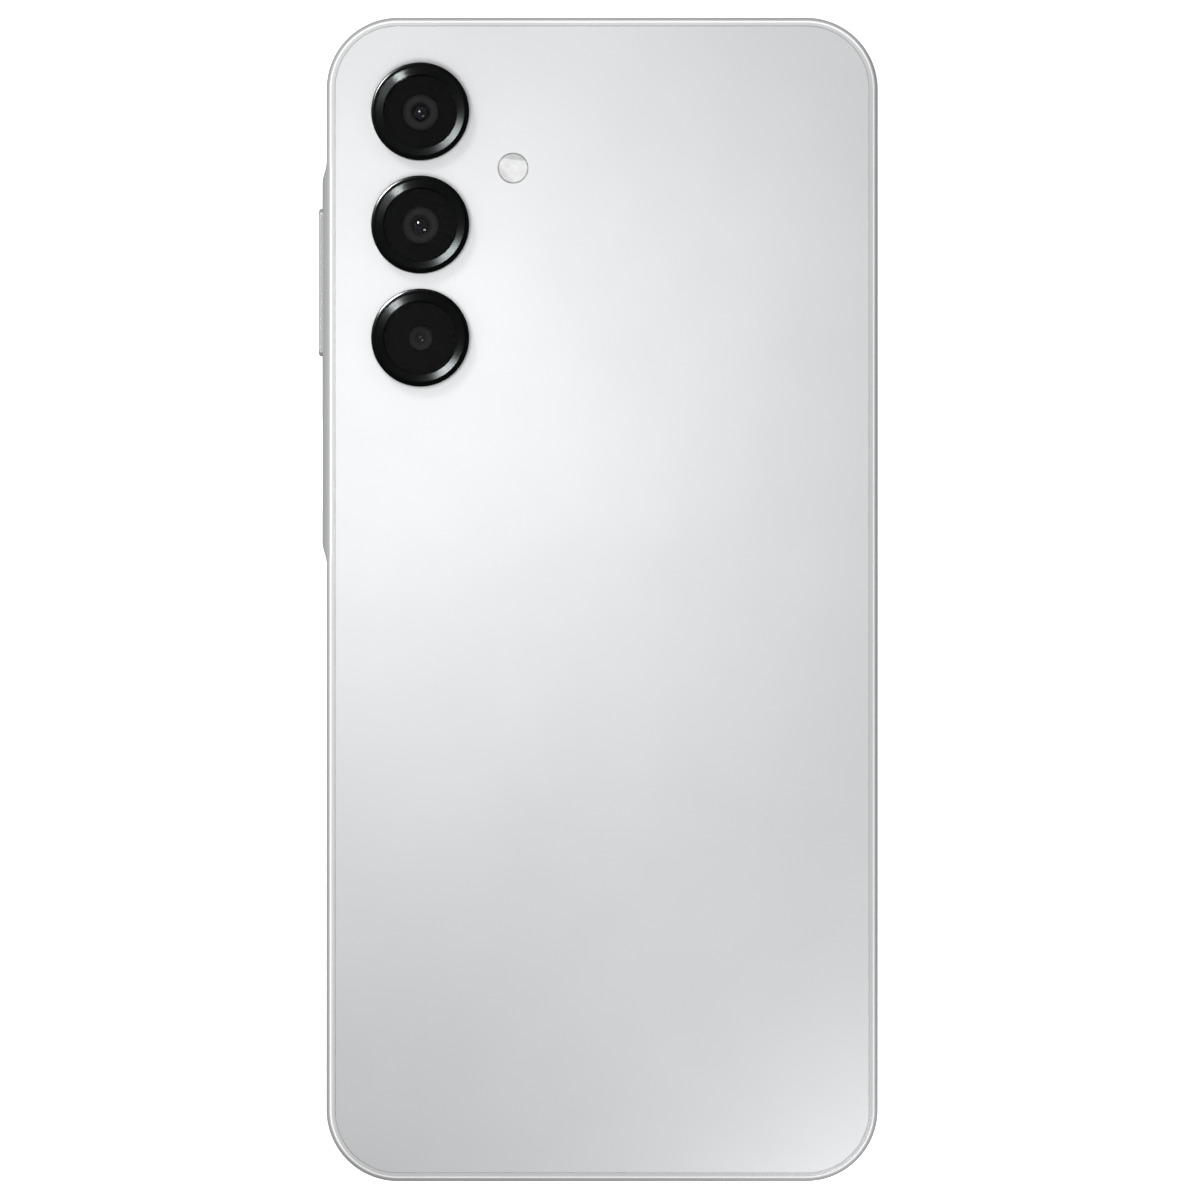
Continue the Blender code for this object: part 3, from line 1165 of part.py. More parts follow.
def upper_inner_cover():
    radii = (BOARD_SMALL_CORNER, BOARD_SMALL_CORNER, BOARD_CORNER, BOARD_CORNER)
    foot = MAIN_BOARD_FOOT_Y + INNER_COVER_SETBACKS[0]
    outline = rectangle((-BOARD_X, foot), (BOARD_X, BOARD_Y), radii, CORNER_STEPS)
    cover = inner_cover("upper_inner_cover", outline, UPPER_SCREWS, MAIN_BOARD_TOP_Z)
    through = (INNER_COVER_Z - CUT_PAST / 2, INNER_COVER_TOP_Z + CUT_PAST / 2)
    side = MAIN_CAMERA_SIDE + 4 * SIDE_GAP
    hole = box_outline((CAMERA_X, MAIN_Y), side, side)
    cut(cover, prism("main_opening", hole, *through, BLACK_PLASTIC))
    for name, y, radius in (
        ("wide_opening", WIDE_Y, WIDE_BARREL_RADIUS),
        ("macro_opening", MACRO_Y, MACRO_BARREL_RADIUS),
    ):
        hole = circle((CAMERA_X, y), radius + 2 * SIDE_GAP)
        cut(cover, prism(name, hole, *through, BLACK_PLASTIC))

    to_flash, to_side, to_foot, to_top = NFC_INSETS
    left, right = FLASH_X + to_flash, BOARD_X - to_side
    low, high = MAIN_BOARD_FOOT_Y + to_foot, BOARD_Y - to_top
    outer = rectangle((left, low), (right, high))
    inner = rectangle((left + NFC_WIDTH, low + NFC_WIDTH), (right - NFC_WIDTH, high - NFC_WIDTH))
    coil_z = INNER_COVER_TOP_Z + STACK_GAP
    band("nfc_antenna", outer, inner, coil_z, coil_z + NFC_THICKNESS, COPPER)


def sub_board():
    radii = (BOARD_SMALL_CORNER, BOARD_CORNER, BOARD_SMALL_CORNER, BOARD_SMALL_CORNER)
    low, high = (SUB_BOARD_START, -BOARD_Y), (BOARD_X, SUB_BOARD_TOP_Y)
    outline = rectangle(low, high, radii, CORNER_STEPS)
    board = prism("sub_board", outline, SUB_BOARD_Z, SUB_BOARD_TOP_Z, BOARD_GREEN)
    through = (SUB_BOARD_Z - CUT_PAST / 2, SUB_BOARD_TOP_Z + CUT_PAST / 2)
    port_end = -HALF_LENGTH + PORT_SINK + PORT_DEPTH
    half = PORT_WIDTH / 2 + 2 * SIDE_GAP
    notch = rectangle((-half, -HALF_LENGTH), (half, port_end + 3 * SIDE_GAP))
    cut(board, prism("port_notch", notch, *through, BOARD_GREEN))
    motor = circle((MOTOR_X, MOTOR_Y), MOTOR_RADIUS + 2 * SIDE_GAP)
    cut(board, prism("motor_hole", motor, *through, BOARD_GREEN))
    cut(board, *screw_holes("sub_hole", LOWER_SCREWS, *through, BOARD_GREEN))

    high = (BOARD_X, SUB_BOARD_TOP_Y - INNER_COVER_SETBACKS[1])
    outline = rectangle(low, high, radii, CORNER_STEPS)
    inner_cover("lower_inner_cover", outline, LOWER_SCREWS, SUB_BOARD_TOP_Z)


def usb_port():
    start = -HALF_LENGTH + PORT_SINK
    end = start + PORT_DEPTH
    shell = prism("usb_port_shell", slot((0, PORT_Z), PORT_WIDTH, PORT_HEIGHT), start, end, STEEL, "XZ")
    inner = slot((0, PORT_Z), PORT_WIDTH - 2 * PORT_WALL, PORT_HEIGHT - 2 * PORT_WALL)
    cut(shell, prism("port_inside", inner, start - CUT_PAST, end + CUT_PAST, STEEL, "XZ"))
    gap = PORT_WALL + SIDE_GAP
    base = slot((0, PORT_Z), PORT_WIDTH - 2 * gap, PORT_HEIGHT - 2 * gap)
    tongue = prism(
        "usb_port_tongue", base, end - TONGUE_BASE - SIDE_GAP, end - SIDE_GAP, BLACK_PLASTIC, "XZ"
    )
    blade = box_outline((0, PORT_Z), TONGUE_WIDTH, TONGUE_THICKNESS)
    blade_ys = (start + TONGUE_SINK, end - TONGUE_BASE)
    join(tongue, prism("tongue_blade", blade, *blade_ys, BLACK_PLASTIC, "XZ"))


def loudspeaker():
    corner = (BOARD_CORNER, BOARD_SMALL_CORNER, BOARD_SMALL_CORNER, BOARD_SMALL_CORNER)
    low, high = (-BOARD_X, -BOARD_Y), (SPEAKER_SIDE_X, SUB_BOARD_TOP_Y)
    outer = rectangle(low, high, corner, CORNER_STEPS)
    case = prism("speaker_case", outer, FLOOR_Z, SPEAKER_TOP_Z, BLACK_PLASTIC)
    inner = rectangle(
        (low[0] + SPEAKER_WALL, low[1] + SPEAKER_WALL),
        (high[0] - SPEAKER_WALL, high[1] - SPEAKER_WALL),
        (BOARD_CORNER - SPEAKER_WALL, 0, 0, 0),
        CORNER_STEPS,
    )
    inside = prism("speaker_inside", inner, FLOOR_Z + SPEAKER_WALL, COVER_Z, BLACK_PLASTIC)
    span = (SPEAKER_SLOTS - 1) * SPEAKER_SLOT_PITCH + SPEAKER_SLOT_LENGTH
    middle = SPEAKER_SLOT_START - (SPEAKER_SLOTS - 1) * SPEAKER_SLOT_PITCH / 2
    duct = slot((middle, PORT_Z), span, SPEAKER_SLOT_HEIGHT + 4 * SIDE_GAP)
    duct_ys = (-BOARD_Y - CUT_PAST, -BOARD_Y + DUCT_DEPTH)
    cut(case, inside, prism("speaker_duct", duct, *duct_ys, BLACK_PLASTIC, "XZ"))
    lid_z = SPEAKER_TOP_Z + STACK_GAP
    prism("speaker_lid", outer, lid_z, lid_z + SPEAKER_LID, GREY_PLASTIC)

    width, length, thickness = DIAPHRAGM
    x, y = SPEAKER_CENTRE
    rim = box_outline((x, y), width + 2 * DRIVER_RIM, length + 2 * DRIVER_RIM, DRIVER_CORNER)
    driver_top = DRIVER_Z + DRIVER_HEIGHT
    basket = prism("speaker_driver", rim, DRIVER_Z, driver_top, STEEL)
    space = box_outline(
        (x, y), width - 2 * COIL_SPACE_INSET, length - 2 * COIL_SPACE_INSET, DRIVER_CORNER
    )
    coil = prism("coil_space", space, DRIVER_Z + DRIVER_FLOOR, driver_top + CUT_PAST, STEEL)
    cut(basket, coil)
    cone = box_outline((x, y), width, length, DIAPHRAGM_CORNER)
    diaphragm = prism("speaker_diaphragm", cone, DIAPHRAGM_Z, DIAPHRAGM_Z + thickness, GREY_PLASTIC)
    set_origin(diaphragm, (x, y, DIAPHRAGM_Z))


def vibration_motor():
    """A coin motor: a can, its base with the shaft, and the eccentric rotor."""
    top = FLOOR_Z + MOTOR_HEIGHT
    inside = MOTOR_RADIUS - MOTOR_WALL
    can = [
        (inside, FLOOR_Z),
        (MOTOR_RADIUS, FLOOR_Z),
        (MOTOR_RADIUS, top),
        (0, top),
        (0, top - MOTOR_WALL),
        (inside, top - MOTOR_WALL),
    ]
    centre = (MOTOR_X, MOTOR_Y, 0)
    turned("motor_case", can, centre, STEEL)
    plate = FLOOR_Z + MOTOR_WALL
    base = [
        (0, FLOOR_Z),
        (inside - SIDE_GAP, FLOOR_Z),
        (inside - SIDE_GAP, plate),
        (MOTOR_SHAFT_RADIUS, plate),
        (MOTOR_SHAFT_RADIUS, top - MOTOR_WALL - SIDE_GAP),
        (0, top - MOTOR_WALL - SIDE_GAP),
    ]
    turned("motor_base", base, centre, STEEL)

    reach = inside - 2 * SIDE_GAP
    half_disc = arc((MOTOR_X, MOTOR_Y), reach, 0, 180, 12)
    hub = arc((MOTOR_X, MOTOR_Y), ROTOR_HUB_RADIUS, 180, 360, 8)[1:-1]
    low, high = plate + 2 * SIDE_GAP, top - MOTOR_WALL - 2 * SIDE_GAP
    rotor = prism("motor_rotor", half_disc + hub, low, high, STEEL)
    bore = circle((MOTOR_X, MOTOR_Y), MOTOR_SHAFT_RADIUS + ROTOR_BORE_GAP)
    cut(rotor, prism("rotor_bore", bore, low - CUT_PAST, high + CUT_PAST, STEEL))
    set_origin(rotor, (MOTOR_X, MOTOR_Y, low))


# ---------------------------------------------------------------------------------------------
# Top edge, leads and screws
# ---------------------------------------------------------------------------------------------


def top_edge():
    side = FRONT_CAMERA_SIDE
    outline = box_outline((0, NOTCH_Y - FRONT_CAMERA_SHIFT), side, side, FRONT_CAMERA_CORNER)
    camera = prism("front_camera", outline, FLOOR_Z, FLOOR_Z + FRONT_CAMERA_HEIGHT, GREY_PLASTIC)
    front = GLASS_THICKNESS + 2 * STACK_GAP
    snout = [
        (0, front + FRONT_FUNNEL[1]),
        (FRONT_LENS_RADIUS * FRONT_ELEMENT, front + FRONT_FUNNEL[0]),
        (FRONT_LENS_RADIUS * FRONT_MOUTH, front),
        (FRONT_LENS_RADIUS, front),
        (FRONT_LENS_RADIUS, FLOOR_Z + FRONT_BARREL_SINK),
        (0, FLOOR_Z + FRONT_BARREL_SINK),
    ]
    join(camera, turned("front_snout", snout, (0, NOTCH_Y, 0), GREY_PLASTIC))

    width, length, height = EARPIECE_SIZE
    receiver_x = FRONT_CAMERA_SIDE / 2 + EARPIECE_TO_CAMERA + width / 2
    centre = (receiver_x, BOARD_Y - 3 * SIDE_GAP - length / 2)
    receiver = box_outline(centre, width, length, BOARD_SMALL_CORNER)
    prism("earpiece_speaker", receiver, FLOOR_Z, FLOOR_Z + height, GREY_PLASTIC)

    inner_y = HALF_LENGTH - GLASS_SEAM + SIDE_GAP / 2
    mesh = rectangle(
        (-EARPIECE_SLOT / 2 + MESH_GAP, inner_y),
        (EARPIECE_SLOT / 2 - MESH_GAP, inner_y + EARPIECE_SLOT_WIDTH - SIDE_GAP / 2 - MESH_GAP),
    )
    prism("earpiece_mesh", mesh, FRONT_LIP + SIDE_GAP, SCREEN_LEDGE_Z - 2 * SIDE_GAP, BLACK_METAL)


def main_flex():
    """The ribbon over the battery, from the main board to the sub board."""
    upper = MAIN_BOARD_TOP_Z + FLEX_LIFT
    lower = SUB_BOARD_TOP_Z + FLEX_LIFT
    over = OVER_BATTERY_Z + FLEX_THICKNESS / 2
    line = [
        (MAIN_BOARD_FOOT_Y + FLEX_REACH, upper),
        (MAIN_BOARD_FOOT_Y - SIDE_GAP, upper),
        (BATTERY_TOP_Y, over),
        (BATTERY_FOOT_Y, over),
        (SUB_BOARD_TOP_Y + MAIN_FLEX_RUN_OUT, lower),
        (SUB_BOARD_TOP_Y - FLEX_REACH, lower),
    ]
    ribbon = strip("main_flex", *MAIN_FLEX_XS, line, MAIN_FLEX_THICKNESS, FLEX_BROWN)
    lower_y = SUB_BOARD_TOP_Y - PLUG_INSET - PLUG_LENGTH
    plug("upper_plug", ribbon, MAIN_FLEX_XS, MAIN_BOARD_FOOT_Y + PLUG_INSET, MAIN_BOARD_TOP_Z)
    plug("lower_plug", ribbon, MAIN_FLEX_XS, lower_y, SUB_BOARD_TOP_Z)


def smooth_line(points, steps):
    """Catmull-Rom points through the given ones."""
    ends = [2 * points[0] - points[1], *points, 2 * points[-1] - points[-2]]
    line = []
    for a, b, c, d in zip(ends, ends[1:], ends[2:], ends[3:]):
        for i in range(steps):
            t = i / steps
            line.append(
                0.5
                * (
                    2 * b
                    + (c - a) * t
                    + (2 * a - 5 * b + 4 * c - d) * t * t
                    + (3 * b - a - 3 * c + d) * t * t * t
                )
            )
    return [*line, points[-1]]


def antenna_cable():
    """The coaxial lead, clipped beside the battery between its two board plugs."""
    run_x = HALF_WIDTH - CABLE_TO_SIDE
    run_z = FLOOR_Z + MM
    end_x = run_x - 2.6 * MM
    upper = MAIN_BOARD_TOP_Z + FLEX_LIFT
    lower = SUB_BOARD_TOP_Z + FLEX_LIFT
    top_y, foot_y = MAIN_BOARD_FOOT_Y, SUB_BOARD_TOP_Y
    route = [
        (end_x, top_y + 3.4 * MM, upper),
        (end_x + 0.3 * MM, top_y + 1.6 * MM, upper),
        (run_x - 0.9 * MM, top_y - 0.2 * MM, upper),
        (run_x - 0.1 * MM, top_y - 3.0 * MM, run_z + MM),
        (run_x, top_y - 7.0 * MM, run_z),
        (run_x, (top_y + foot_y) / 2, run_z),
        (run_x, foot_y + 8.0 * MM, run_z),
        (run_x - 0.1 * MM, foot_y + 4.0 * MM, run_z + 0.6 * MM),
        (run_x - 0.9 * MM, foot_y + 1.0 * MM, lower),
        (end_x + 0.3 * MM, foot_y - 1.2 * MM, lower),
        (end_x, foot_y - 3.0 * MM, lower),
    ]
    line = smooth_line([Vector(point) for point in route], CABLE_STEPS)
    data = bpy.data.curves.new("antenna_cable", "CURVE")
    data.dimensions = "3D"
    data.bevel_depth = CABLE_DIAMETER / 2
    data.bevel_resolution = 2
    data.use_fill_caps = True
    spline = data.splines.new("POLY")
    spline.points.add(len(line) - 1)
    for point, place in zip(spline.points, line):
        point.co = (*place, 1)
    cable = bpy.data.objects.new("antenna_cable", data)
    bpy.context.scene.collection.objects.link(cable)
    data.materials.append(material(*BLACK_PLASTIC))


def screw(name, place):
    """A cross-head screw through an inner cover and its board into a boss."""
    head_foot = INNER_COVER_TOP_Z - SCREW_HEAD
    tip = PLATE_TOP_Z + SCREW_TIP_LIFT
    profile = [
        (0, tip),
        (SCREW_RADIUS, tip),
        (SCREW_RADIUS, head_foot),
        (SCREW_HEAD_RADIUS, head_foot),
        (SCREW_HEAD_RADIUS, INNER_COVER_TOP_Z - SCREW_CHAMFER[1]),
        (SCREW_HEAD_RADIUS - SCREW_CHAMFER[0], INNER_COVER_TOP_Z),
        (0, INNER_COVER_TOP_Z),
    ]
    made = turned(name, profile, (*place, 0), STEEL, SCREW_STEPS)
    length, width, depth = SCREW_CROSS
    floor, above = INNER_COVER_TOP_Z - depth, INNER_COVER_TOP_Z + depth
    cross = prism(f"{name}_slot_x", box_outline(place, length, width), floor, above, STEEL)
    other = prism(f"{name}_slot_y", box_outline(place, width, length), floor, above, STEEL)
    cut(made, cross, other)


def screws():
    for i, place in enumerate(UPPER_SCREWS + LOWER_SCREWS, 1):
        screw(f"screw_{i}", place)


def build():
    for obj in list(bpy.data.objects):
        bpy.data.objects.remove(obj)
    side_frame()
    screen()
    display_flex()
    chassis_plate()
    rear_cover()
    for name, y in zip(("ultrawide", "main", "macro"), CAMERA_YS):
        camera_ring(name, y)
        camera_window(name, y)
    rear_cameras()
    flash()
    keys()
    card_tray()
    battery()
    main_board()
    shields()
    upper_inner_cover()
    sub_board()
    usb_port()
    loudspeaker()
    vibration_motor()
    top_edge()
    main_flex()
    antenna_cable()
    screws()


build()
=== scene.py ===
"""Looks of the smartphone: fine meshes, materials, floor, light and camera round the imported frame.

The phone lies on its screen and is seen from straight above its back. Lengths are in metres in the
frame of the CAD, where +Y is the phone's top edge and +Z leads out of its back.
"""

import math

import bmesh
import bpy
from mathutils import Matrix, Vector
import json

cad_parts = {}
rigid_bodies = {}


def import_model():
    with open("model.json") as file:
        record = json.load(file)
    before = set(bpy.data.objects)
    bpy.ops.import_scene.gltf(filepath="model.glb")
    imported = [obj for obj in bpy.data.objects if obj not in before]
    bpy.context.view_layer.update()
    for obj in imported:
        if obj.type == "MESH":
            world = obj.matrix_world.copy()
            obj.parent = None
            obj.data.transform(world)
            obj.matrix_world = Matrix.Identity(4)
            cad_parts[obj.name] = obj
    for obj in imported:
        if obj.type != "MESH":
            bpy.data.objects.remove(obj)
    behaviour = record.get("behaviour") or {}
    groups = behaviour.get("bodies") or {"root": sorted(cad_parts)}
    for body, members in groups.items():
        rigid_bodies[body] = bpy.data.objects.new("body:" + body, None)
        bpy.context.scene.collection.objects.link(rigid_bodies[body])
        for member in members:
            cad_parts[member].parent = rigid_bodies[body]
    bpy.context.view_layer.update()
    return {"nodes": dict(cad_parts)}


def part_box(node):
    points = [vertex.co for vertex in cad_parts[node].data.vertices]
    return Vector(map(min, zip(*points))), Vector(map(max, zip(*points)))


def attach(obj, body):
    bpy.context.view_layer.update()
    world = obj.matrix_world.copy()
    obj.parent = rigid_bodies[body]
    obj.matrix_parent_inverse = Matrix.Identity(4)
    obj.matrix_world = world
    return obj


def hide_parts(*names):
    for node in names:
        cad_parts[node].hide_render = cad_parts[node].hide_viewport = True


MM = 0.001

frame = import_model()


# ---- Places read from the CAD ----


def middle(node):
    low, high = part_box(node)
    return (low + high) / 2


def size(node):
    low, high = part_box(node)
    return high - low


FRAME_LOW, FRAME_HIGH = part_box("side_frame")
COVER_LOW, COVER_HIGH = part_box("rear_cover")
GLASS_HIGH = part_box("display_glass")[1]

HALF_WIDTH = FRAME_HIGH.x
HALF_LENGTH = FRAME_HIGH.y
ISLAND_X = FRAME_LOW.x
FRONT_LIP = FRAME_LOW.z
REAR_Z = COVER_HIGH.z
COVER_Z = COVER_LOW.z
CORNER_RADIUS = 10.1 * MM
ISLAND_RISE = -ISLAND_X - HALF_WIDTH
PORT_MIDDLE = middle("usb_port_shell")
EDGE_Z = PORT_MIDDLE.z  # middle of the openings in the top and bottom edges

CAMERAS = {
    "ultrawide": middle("camera_ring_ultrawide"),
    "main": middle("camera_ring_main"),
    "macro": middle("camera_ring_macro"),
}

CORNER_STEPS = 40
ROUND_STEPS = 160  # round the camera rings
LENS_STEPS = 96
SMALL_ROUND_STEPS = 64
HOLE_STEPS = 32
ON_AXIS = 1e-6  # the radius that stands for a point on the axis
WELD = 1e-7
CRISP = 30  # degrees: edges that are sharper stay crisp
TURNED_CRISP = 24


# ---- Shapes ----


def arc(centre, radius, start, end, steps):
    """Points along an arc in a plane, from start to end in degrees."""
    angles = [math.radians(start + (end - start) * i / steps) for i in range(steps + 1)]
    return [(centre[0] + radius * math.cos(a), centre[1] + radius * math.sin(a)) for a in angles]


def rounded(width, length, radius, steps=CORNER_STEPS, centre=(0, 0)):
    """Outline of a rectangle with round corners, anticlockwise."""
    x, y = width / 2 - radius, length / 2 - radius
    points = []
    for i, (sx, sy) in enumerate(((1, -1), (1, 1), (-1, 1), (-1, -1))):
        corner = (centre[0] + sx * x, centre[1] + sy * y)
        points += arc(corner, radius, 270 + 90 * i, 360 + 90 * i, steps)
    return points


def stadium(length, width, steps=16, centre=(0, 0)):
    """Outline with fully round ends, long along the first axis."""
    half = length / 2 - width / 2
    right = arc((centre[0] + half, centre[1]), width / 2, -90, 90, 2 * steps)
    left = arc((centre[0] - half, centre[1]), width / 2, 90, 270, 2 * steps)
    return right + left


def circle(centre, radius, steps=ROUND_STEPS):
    return arc(centre, radius, 0, 360, steps)[:-1]


def stadium_shape(length, width, centre, steps=16, gap=0.0):
    """A function of an inset, for a stadium that is gap wider all round."""
    return lambda inset: stadium(
        length - 2 * (inset - gap), width - 2 * (inset - gap), steps, centre
    )


def body_outline(inset, steps=CORNER_STEPS):
    return rounded(
        2 * (HALF_WIDTH - inset), 2 * (HALF_LENGTH - inset), CORNER_RADIUS - inset, steps
    )


def on_z(outline, z):
    return [(u, v, z) for u, v in outline]


def on_x(outline, x):
    """An outline drawn in (y, z), placed at x."""
    return [(x, u, v) for u, v in outline]


def on_y(outline, y):
    """An outline drawn in (x, z), placed at y."""
    return [(u, y, v) for u, v in outline]


def object_of(name, shape):
    bmesh.ops.remove_doubles(shape, verts=shape.verts, dist=WELD)
    bmesh.ops.recalc_face_normals(shape, faces=shape.faces)
    mesh = bpy.data.meshes.new(name)
    shape.to_mesh(mesh)
    shape.free()
    made = bpy.data.objects.new(name, mesh)
    bpy.context.scene.collection.objects.link(made)
    return made


def loft(name, loops, cyclic=False):
    """A skin through loops of equal length. Open stacks are closed by a face at each end."""
    shape = bmesh.new()
    rows = [[shape.verts.new(point) for point in loop] for loop in loops]
    count = len(rows[0])
    pairs = list(zip(rows, rows[1:]))
    if cyclic:
        pairs.append((rows[-1], rows[0]))
    for row, following in pairs:
        for i in range(count):
            j = (i + 1) % count
            shape.faces.new((row[i], row[j], following[j], following[i]))
    if not cyclic:
        shape.faces.new(rows[0])
        shape.faces.new(rows[-1])
    return object_of(name, shape)


def prism(name, outline, place, start, end):
    return loft(name, [place(outline, start), place(outline, end)])


def turned(name, profile, centre, steps=ROUND_STEPS, closed=False):
    """A profile of (radius, height) turned about the upright line through centre.

    Open profiles run from axis to axis, or are closed by flat ends. Closed ones make a ring.
    """
    loops = [on_z(circle((0, 0), max(reach, ON_AXIS), steps), z) for reach, z in profile]
    made = loft(name, loops, cyclic=closed)
    made.location = (centre[0], centre[1], 0)
    return made


def combined(obj, operation, *tools):
    """Applies Booleans with the tools, and removes them."""
    for tool in tools:
        modifier = obj.modifiers.new(tool.name, "BOOLEAN")
        modifier.operation = operation
        modifier.object = tool
        modifier.solver = "EXACT"
    bpy.context.view_layer.update()
    graph = bpy.context.evaluated_depsgraph_get()
    mesh = bpy.data.meshes.new_from_object(obj.evaluated_get(graph))
    obj.modifiers.clear()
    obj.data = mesh
    for tool in tools:
        bpy.data.objects.remove(tool)
    return obj


def cut(obj, *tools):
    return combined(obj, "DIFFERENCE", *tools)


def joined(name, *parts):
    """Several meshes as one object, each staying its own shell."""
    shape = bmesh.new()
    for part in parts:
        bpy.context.view_layer.update()
        part.data.transform(part.matrix_world)
        shape.from_mesh(part.data)
        bpy.data.objects.remove(part)
    return object_of(name, shape)


def rounded_loops(outline_at, start, end, edge, steps, place):
    """Loops of a slab from start to end with its edge at end rounded. outline_at takes an inset."""
    way = 1 if end > start else -1
    loops = [place(outline_at(0), start)]
    for inset, height in arc((edge, 0), edge, 180, 90, steps):
        loops.append(place(outline_at(inset), end - way * (edge - height)))
    return loops


# ---- Materials ----


class Nodes:
    """A node tree with a few helpers."""

    def __init__(self, tree):
        self.tree = tree

    def add(self, kind, **values):
        made = self.tree.nodes.new(kind)
        for key, value in values.items():
            setattr(made, key, value)
        return made

    def link(self, source, target):
        self.tree.links.new(source, target)

    def dot(self, vector, way):
        made = self.add("ShaderNodeVectorMath", operation="DOT_PRODUCT")
        self.link(vector, made.inputs[0])
        made.inputs[1].default_value = way
        return made.outputs["Value"]

    def passing(self, factor, start, end, low, high):
        """A number that goes softly from low to high as the factor passes from start to end."""
        made = self.add("ShaderNodeMapRange", interpolation_type="SMOOTHSTEP")
        made.inputs["From Min"].default_value = start
        made.inputs["From Max"].default_value = end
        made.inputs["To Min"].default_value = low
        made.inputs["To Max"].default_value = high
        self.link(factor, made.inputs["Value"])
        return made.outputs["Result"]

    def ramp(self, factor, *stops):
        """Maps a factor to colours. stops are (position, colour or grey)."""
        made = self.add("ShaderNodeValToRGB")
        elements = made.color_ramp.elements
        while len(elements) < len(stops):
            elements.new(0.5)
        for element, (position, colour) in zip(elements, stops):
            if not isinstance(colour, tuple):
                colour = (colour,) * 3
            element.position = position
            element.color = (*colour, 1)
        self.link(factor, made.inputs["Fac"])
        return made.outputs["Color"]


class Paint(Nodes):
    """A Principled material whose detail is procedural."""

    def __init__(self, name, roughness, metallic=0.0, **uniform):
        self.material = bpy.data.materials.new(name)
        self.material.use_nodes = True
        super().__init__(self.material.node_tree)
        self.shader = self.tree.nodes["Principled BSDF"]
        self.coords = self.add("ShaderNodeTexCoord").outputs["Object"]
        self.set("Roughness", roughness)
        self.set("Metallic", metallic)
        for key, value in uniform.items():
            self.set(key.replace("_", " "), value)

    def set(self, socket, value):
        self.shader.inputs[socket].default_value = value

    def noise(self, scale, detail=2.0, roughness=0.5):
        made = self.add("ShaderNodeTexNoise")
        made.inputs["Scale"].default_value = scale
        made.inputs["Detail"].default_value = detail
        made.inputs["Roughness"].default_value = roughness
        self.link(self.coords, made.inputs["Vector"])
        return made.outputs["Fac"]

    def cells(self, scale):
        made = self.add("ShaderNodeTexVoronoi")
        made.inputs["Scale"].default_value = scale
        self.link(self.coords, made.inputs["Vector"])
        return made.outputs["Distance"]

    def between(self, factor, low, high):
        """A number that follows a factor of 0 to 1 from low to high."""
        made = self.add("ShaderNodeMapRange")
        made.inputs["To Min"].default_value = low
        made.inputs["To Max"].default_value = high
        self.link(factor, made.inputs["Value"])
        return made.outputs["Result"]

    def colour(self, source):
        self.link(source, self.shader.inputs["Base Color"])

    def painted_shade(self, colour, factor, start, end, depth):
        """Painted shade: a colour that is multiplied by depth where the factor has passed from start
        to end.
        """
        scaled = self.add("ShaderNodeVectorMath", operation="SCALE")
        self.link(colour, scaled.inputs["Vector"])
        self.link(self.passing(factor, start, end, 1, depth), scaled.inputs["Scale"])
        return scaled.outputs["Vector"]

    def vary_roughness(self, factor, low, high):
        self.link(self.between(factor, low, high), self.shader.inputs["Roughness"])

    def bump(self, height, strength, distance=0.05 * MM):
        made = self.add("ShaderNodeBump")
        made.inputs["Strength"].default_value = strength
        made.inputs["Distance"].default_value = distance
        self.link(height, made.inputs["Height"])
        self.link(made.outputs["Normal"], self.shader.inputs["Normal"])

    def brushed_round(self):
        """Brush marks that run round the object's Z axis."""
        tangent = self.add("ShaderNodeTangent", direction_type="RADIAL", axis="Z")
        self.link(tangent.outputs["Tangent"], self.shader.inputs["Tangent"])
        self.set("Anisotropic", 1.0)
        self.set("Anisotropic Rotation", 0.25)


def speckled(name, colour, spread, scale, roughness, bump, metallic):
    """A coloured material with fine uneven tint, gloss and surface."""
    made = Paint(name, roughness, metallic)
    grain = made.noise(scale, detail=4)
    dark = tuple(c * (1 - spread) for c in colour)
    light = tuple(min(c * (1 + spread), 1) for c in colour)
    made.colour(made.ramp(grain, (0.3, dark), (0.7, light)))
    made.vary_roughness(grain, roughness * 0.85, min(roughness * 1.15, 1))
    made.bump(grain, bump)
    return made.material


FLAKE_SCALE = 9000
CLOUD_SCALE = 60
CLOUD_TINT = 0.03
RIPPLE_SCALE = 900


def pearl(name, colour, flake, roughness, coat_roughness):
    """Paint with very fine bright flakes under a clear coat that is not perfectly level."""
    made = Paint(name, roughness, Coat_Weight=1.0, Coat_Roughness=coat_roughness, Coat_IOR=1.5)
    cloud = made.noise(CLOUD_SCALE, detail=3)
    mixed = made.add("ShaderNodeMath", operation="MULTIPLY_ADD")
    made.link(made.cells(FLAKE_SCALE), mixed.inputs[0])
    mixed.inputs[1].default_value = flake
    made.link(cloud, mixed.inputs[2])
    dark = tuple(c * (1 - CLOUD_TINT) for c in colour)
    light = tuple(min(c * (1 + CLOUD_TINT), 1) for c in colour)
    made.colour(made.ramp(mixed.outputs[0], (0.25, dark), (0.85, light)))
    made.vary_roughness(cloud, roughness * 0.9, roughness * 1.1)
    made.bump(made.noise(RIPPLE_SCALE, detail=1), 0.015, 0.01 * MM)
    return made


DIFFUSER_TONES = ((0.45, 0.452, 0.456), (0.54, 0.542, 0.546))
DIFFUSER_PAINTED_RIM_SHADE = (1.93 * MM, 2.0 * MM, 0.6)  # from, to and depth of the painted shade at its edge
DIFFUSER_PAINTED_SHADES = (  # direction across it, where the painted shade starts and is full, and its depth
    ((0.1, 1.0, 0.0), 1.05 * MM, 1.35 * MM, 0.7),
    ((-0.75, -0.66, 0.0), 0.9 * MM, 1.6 * MM, 0.8),
)


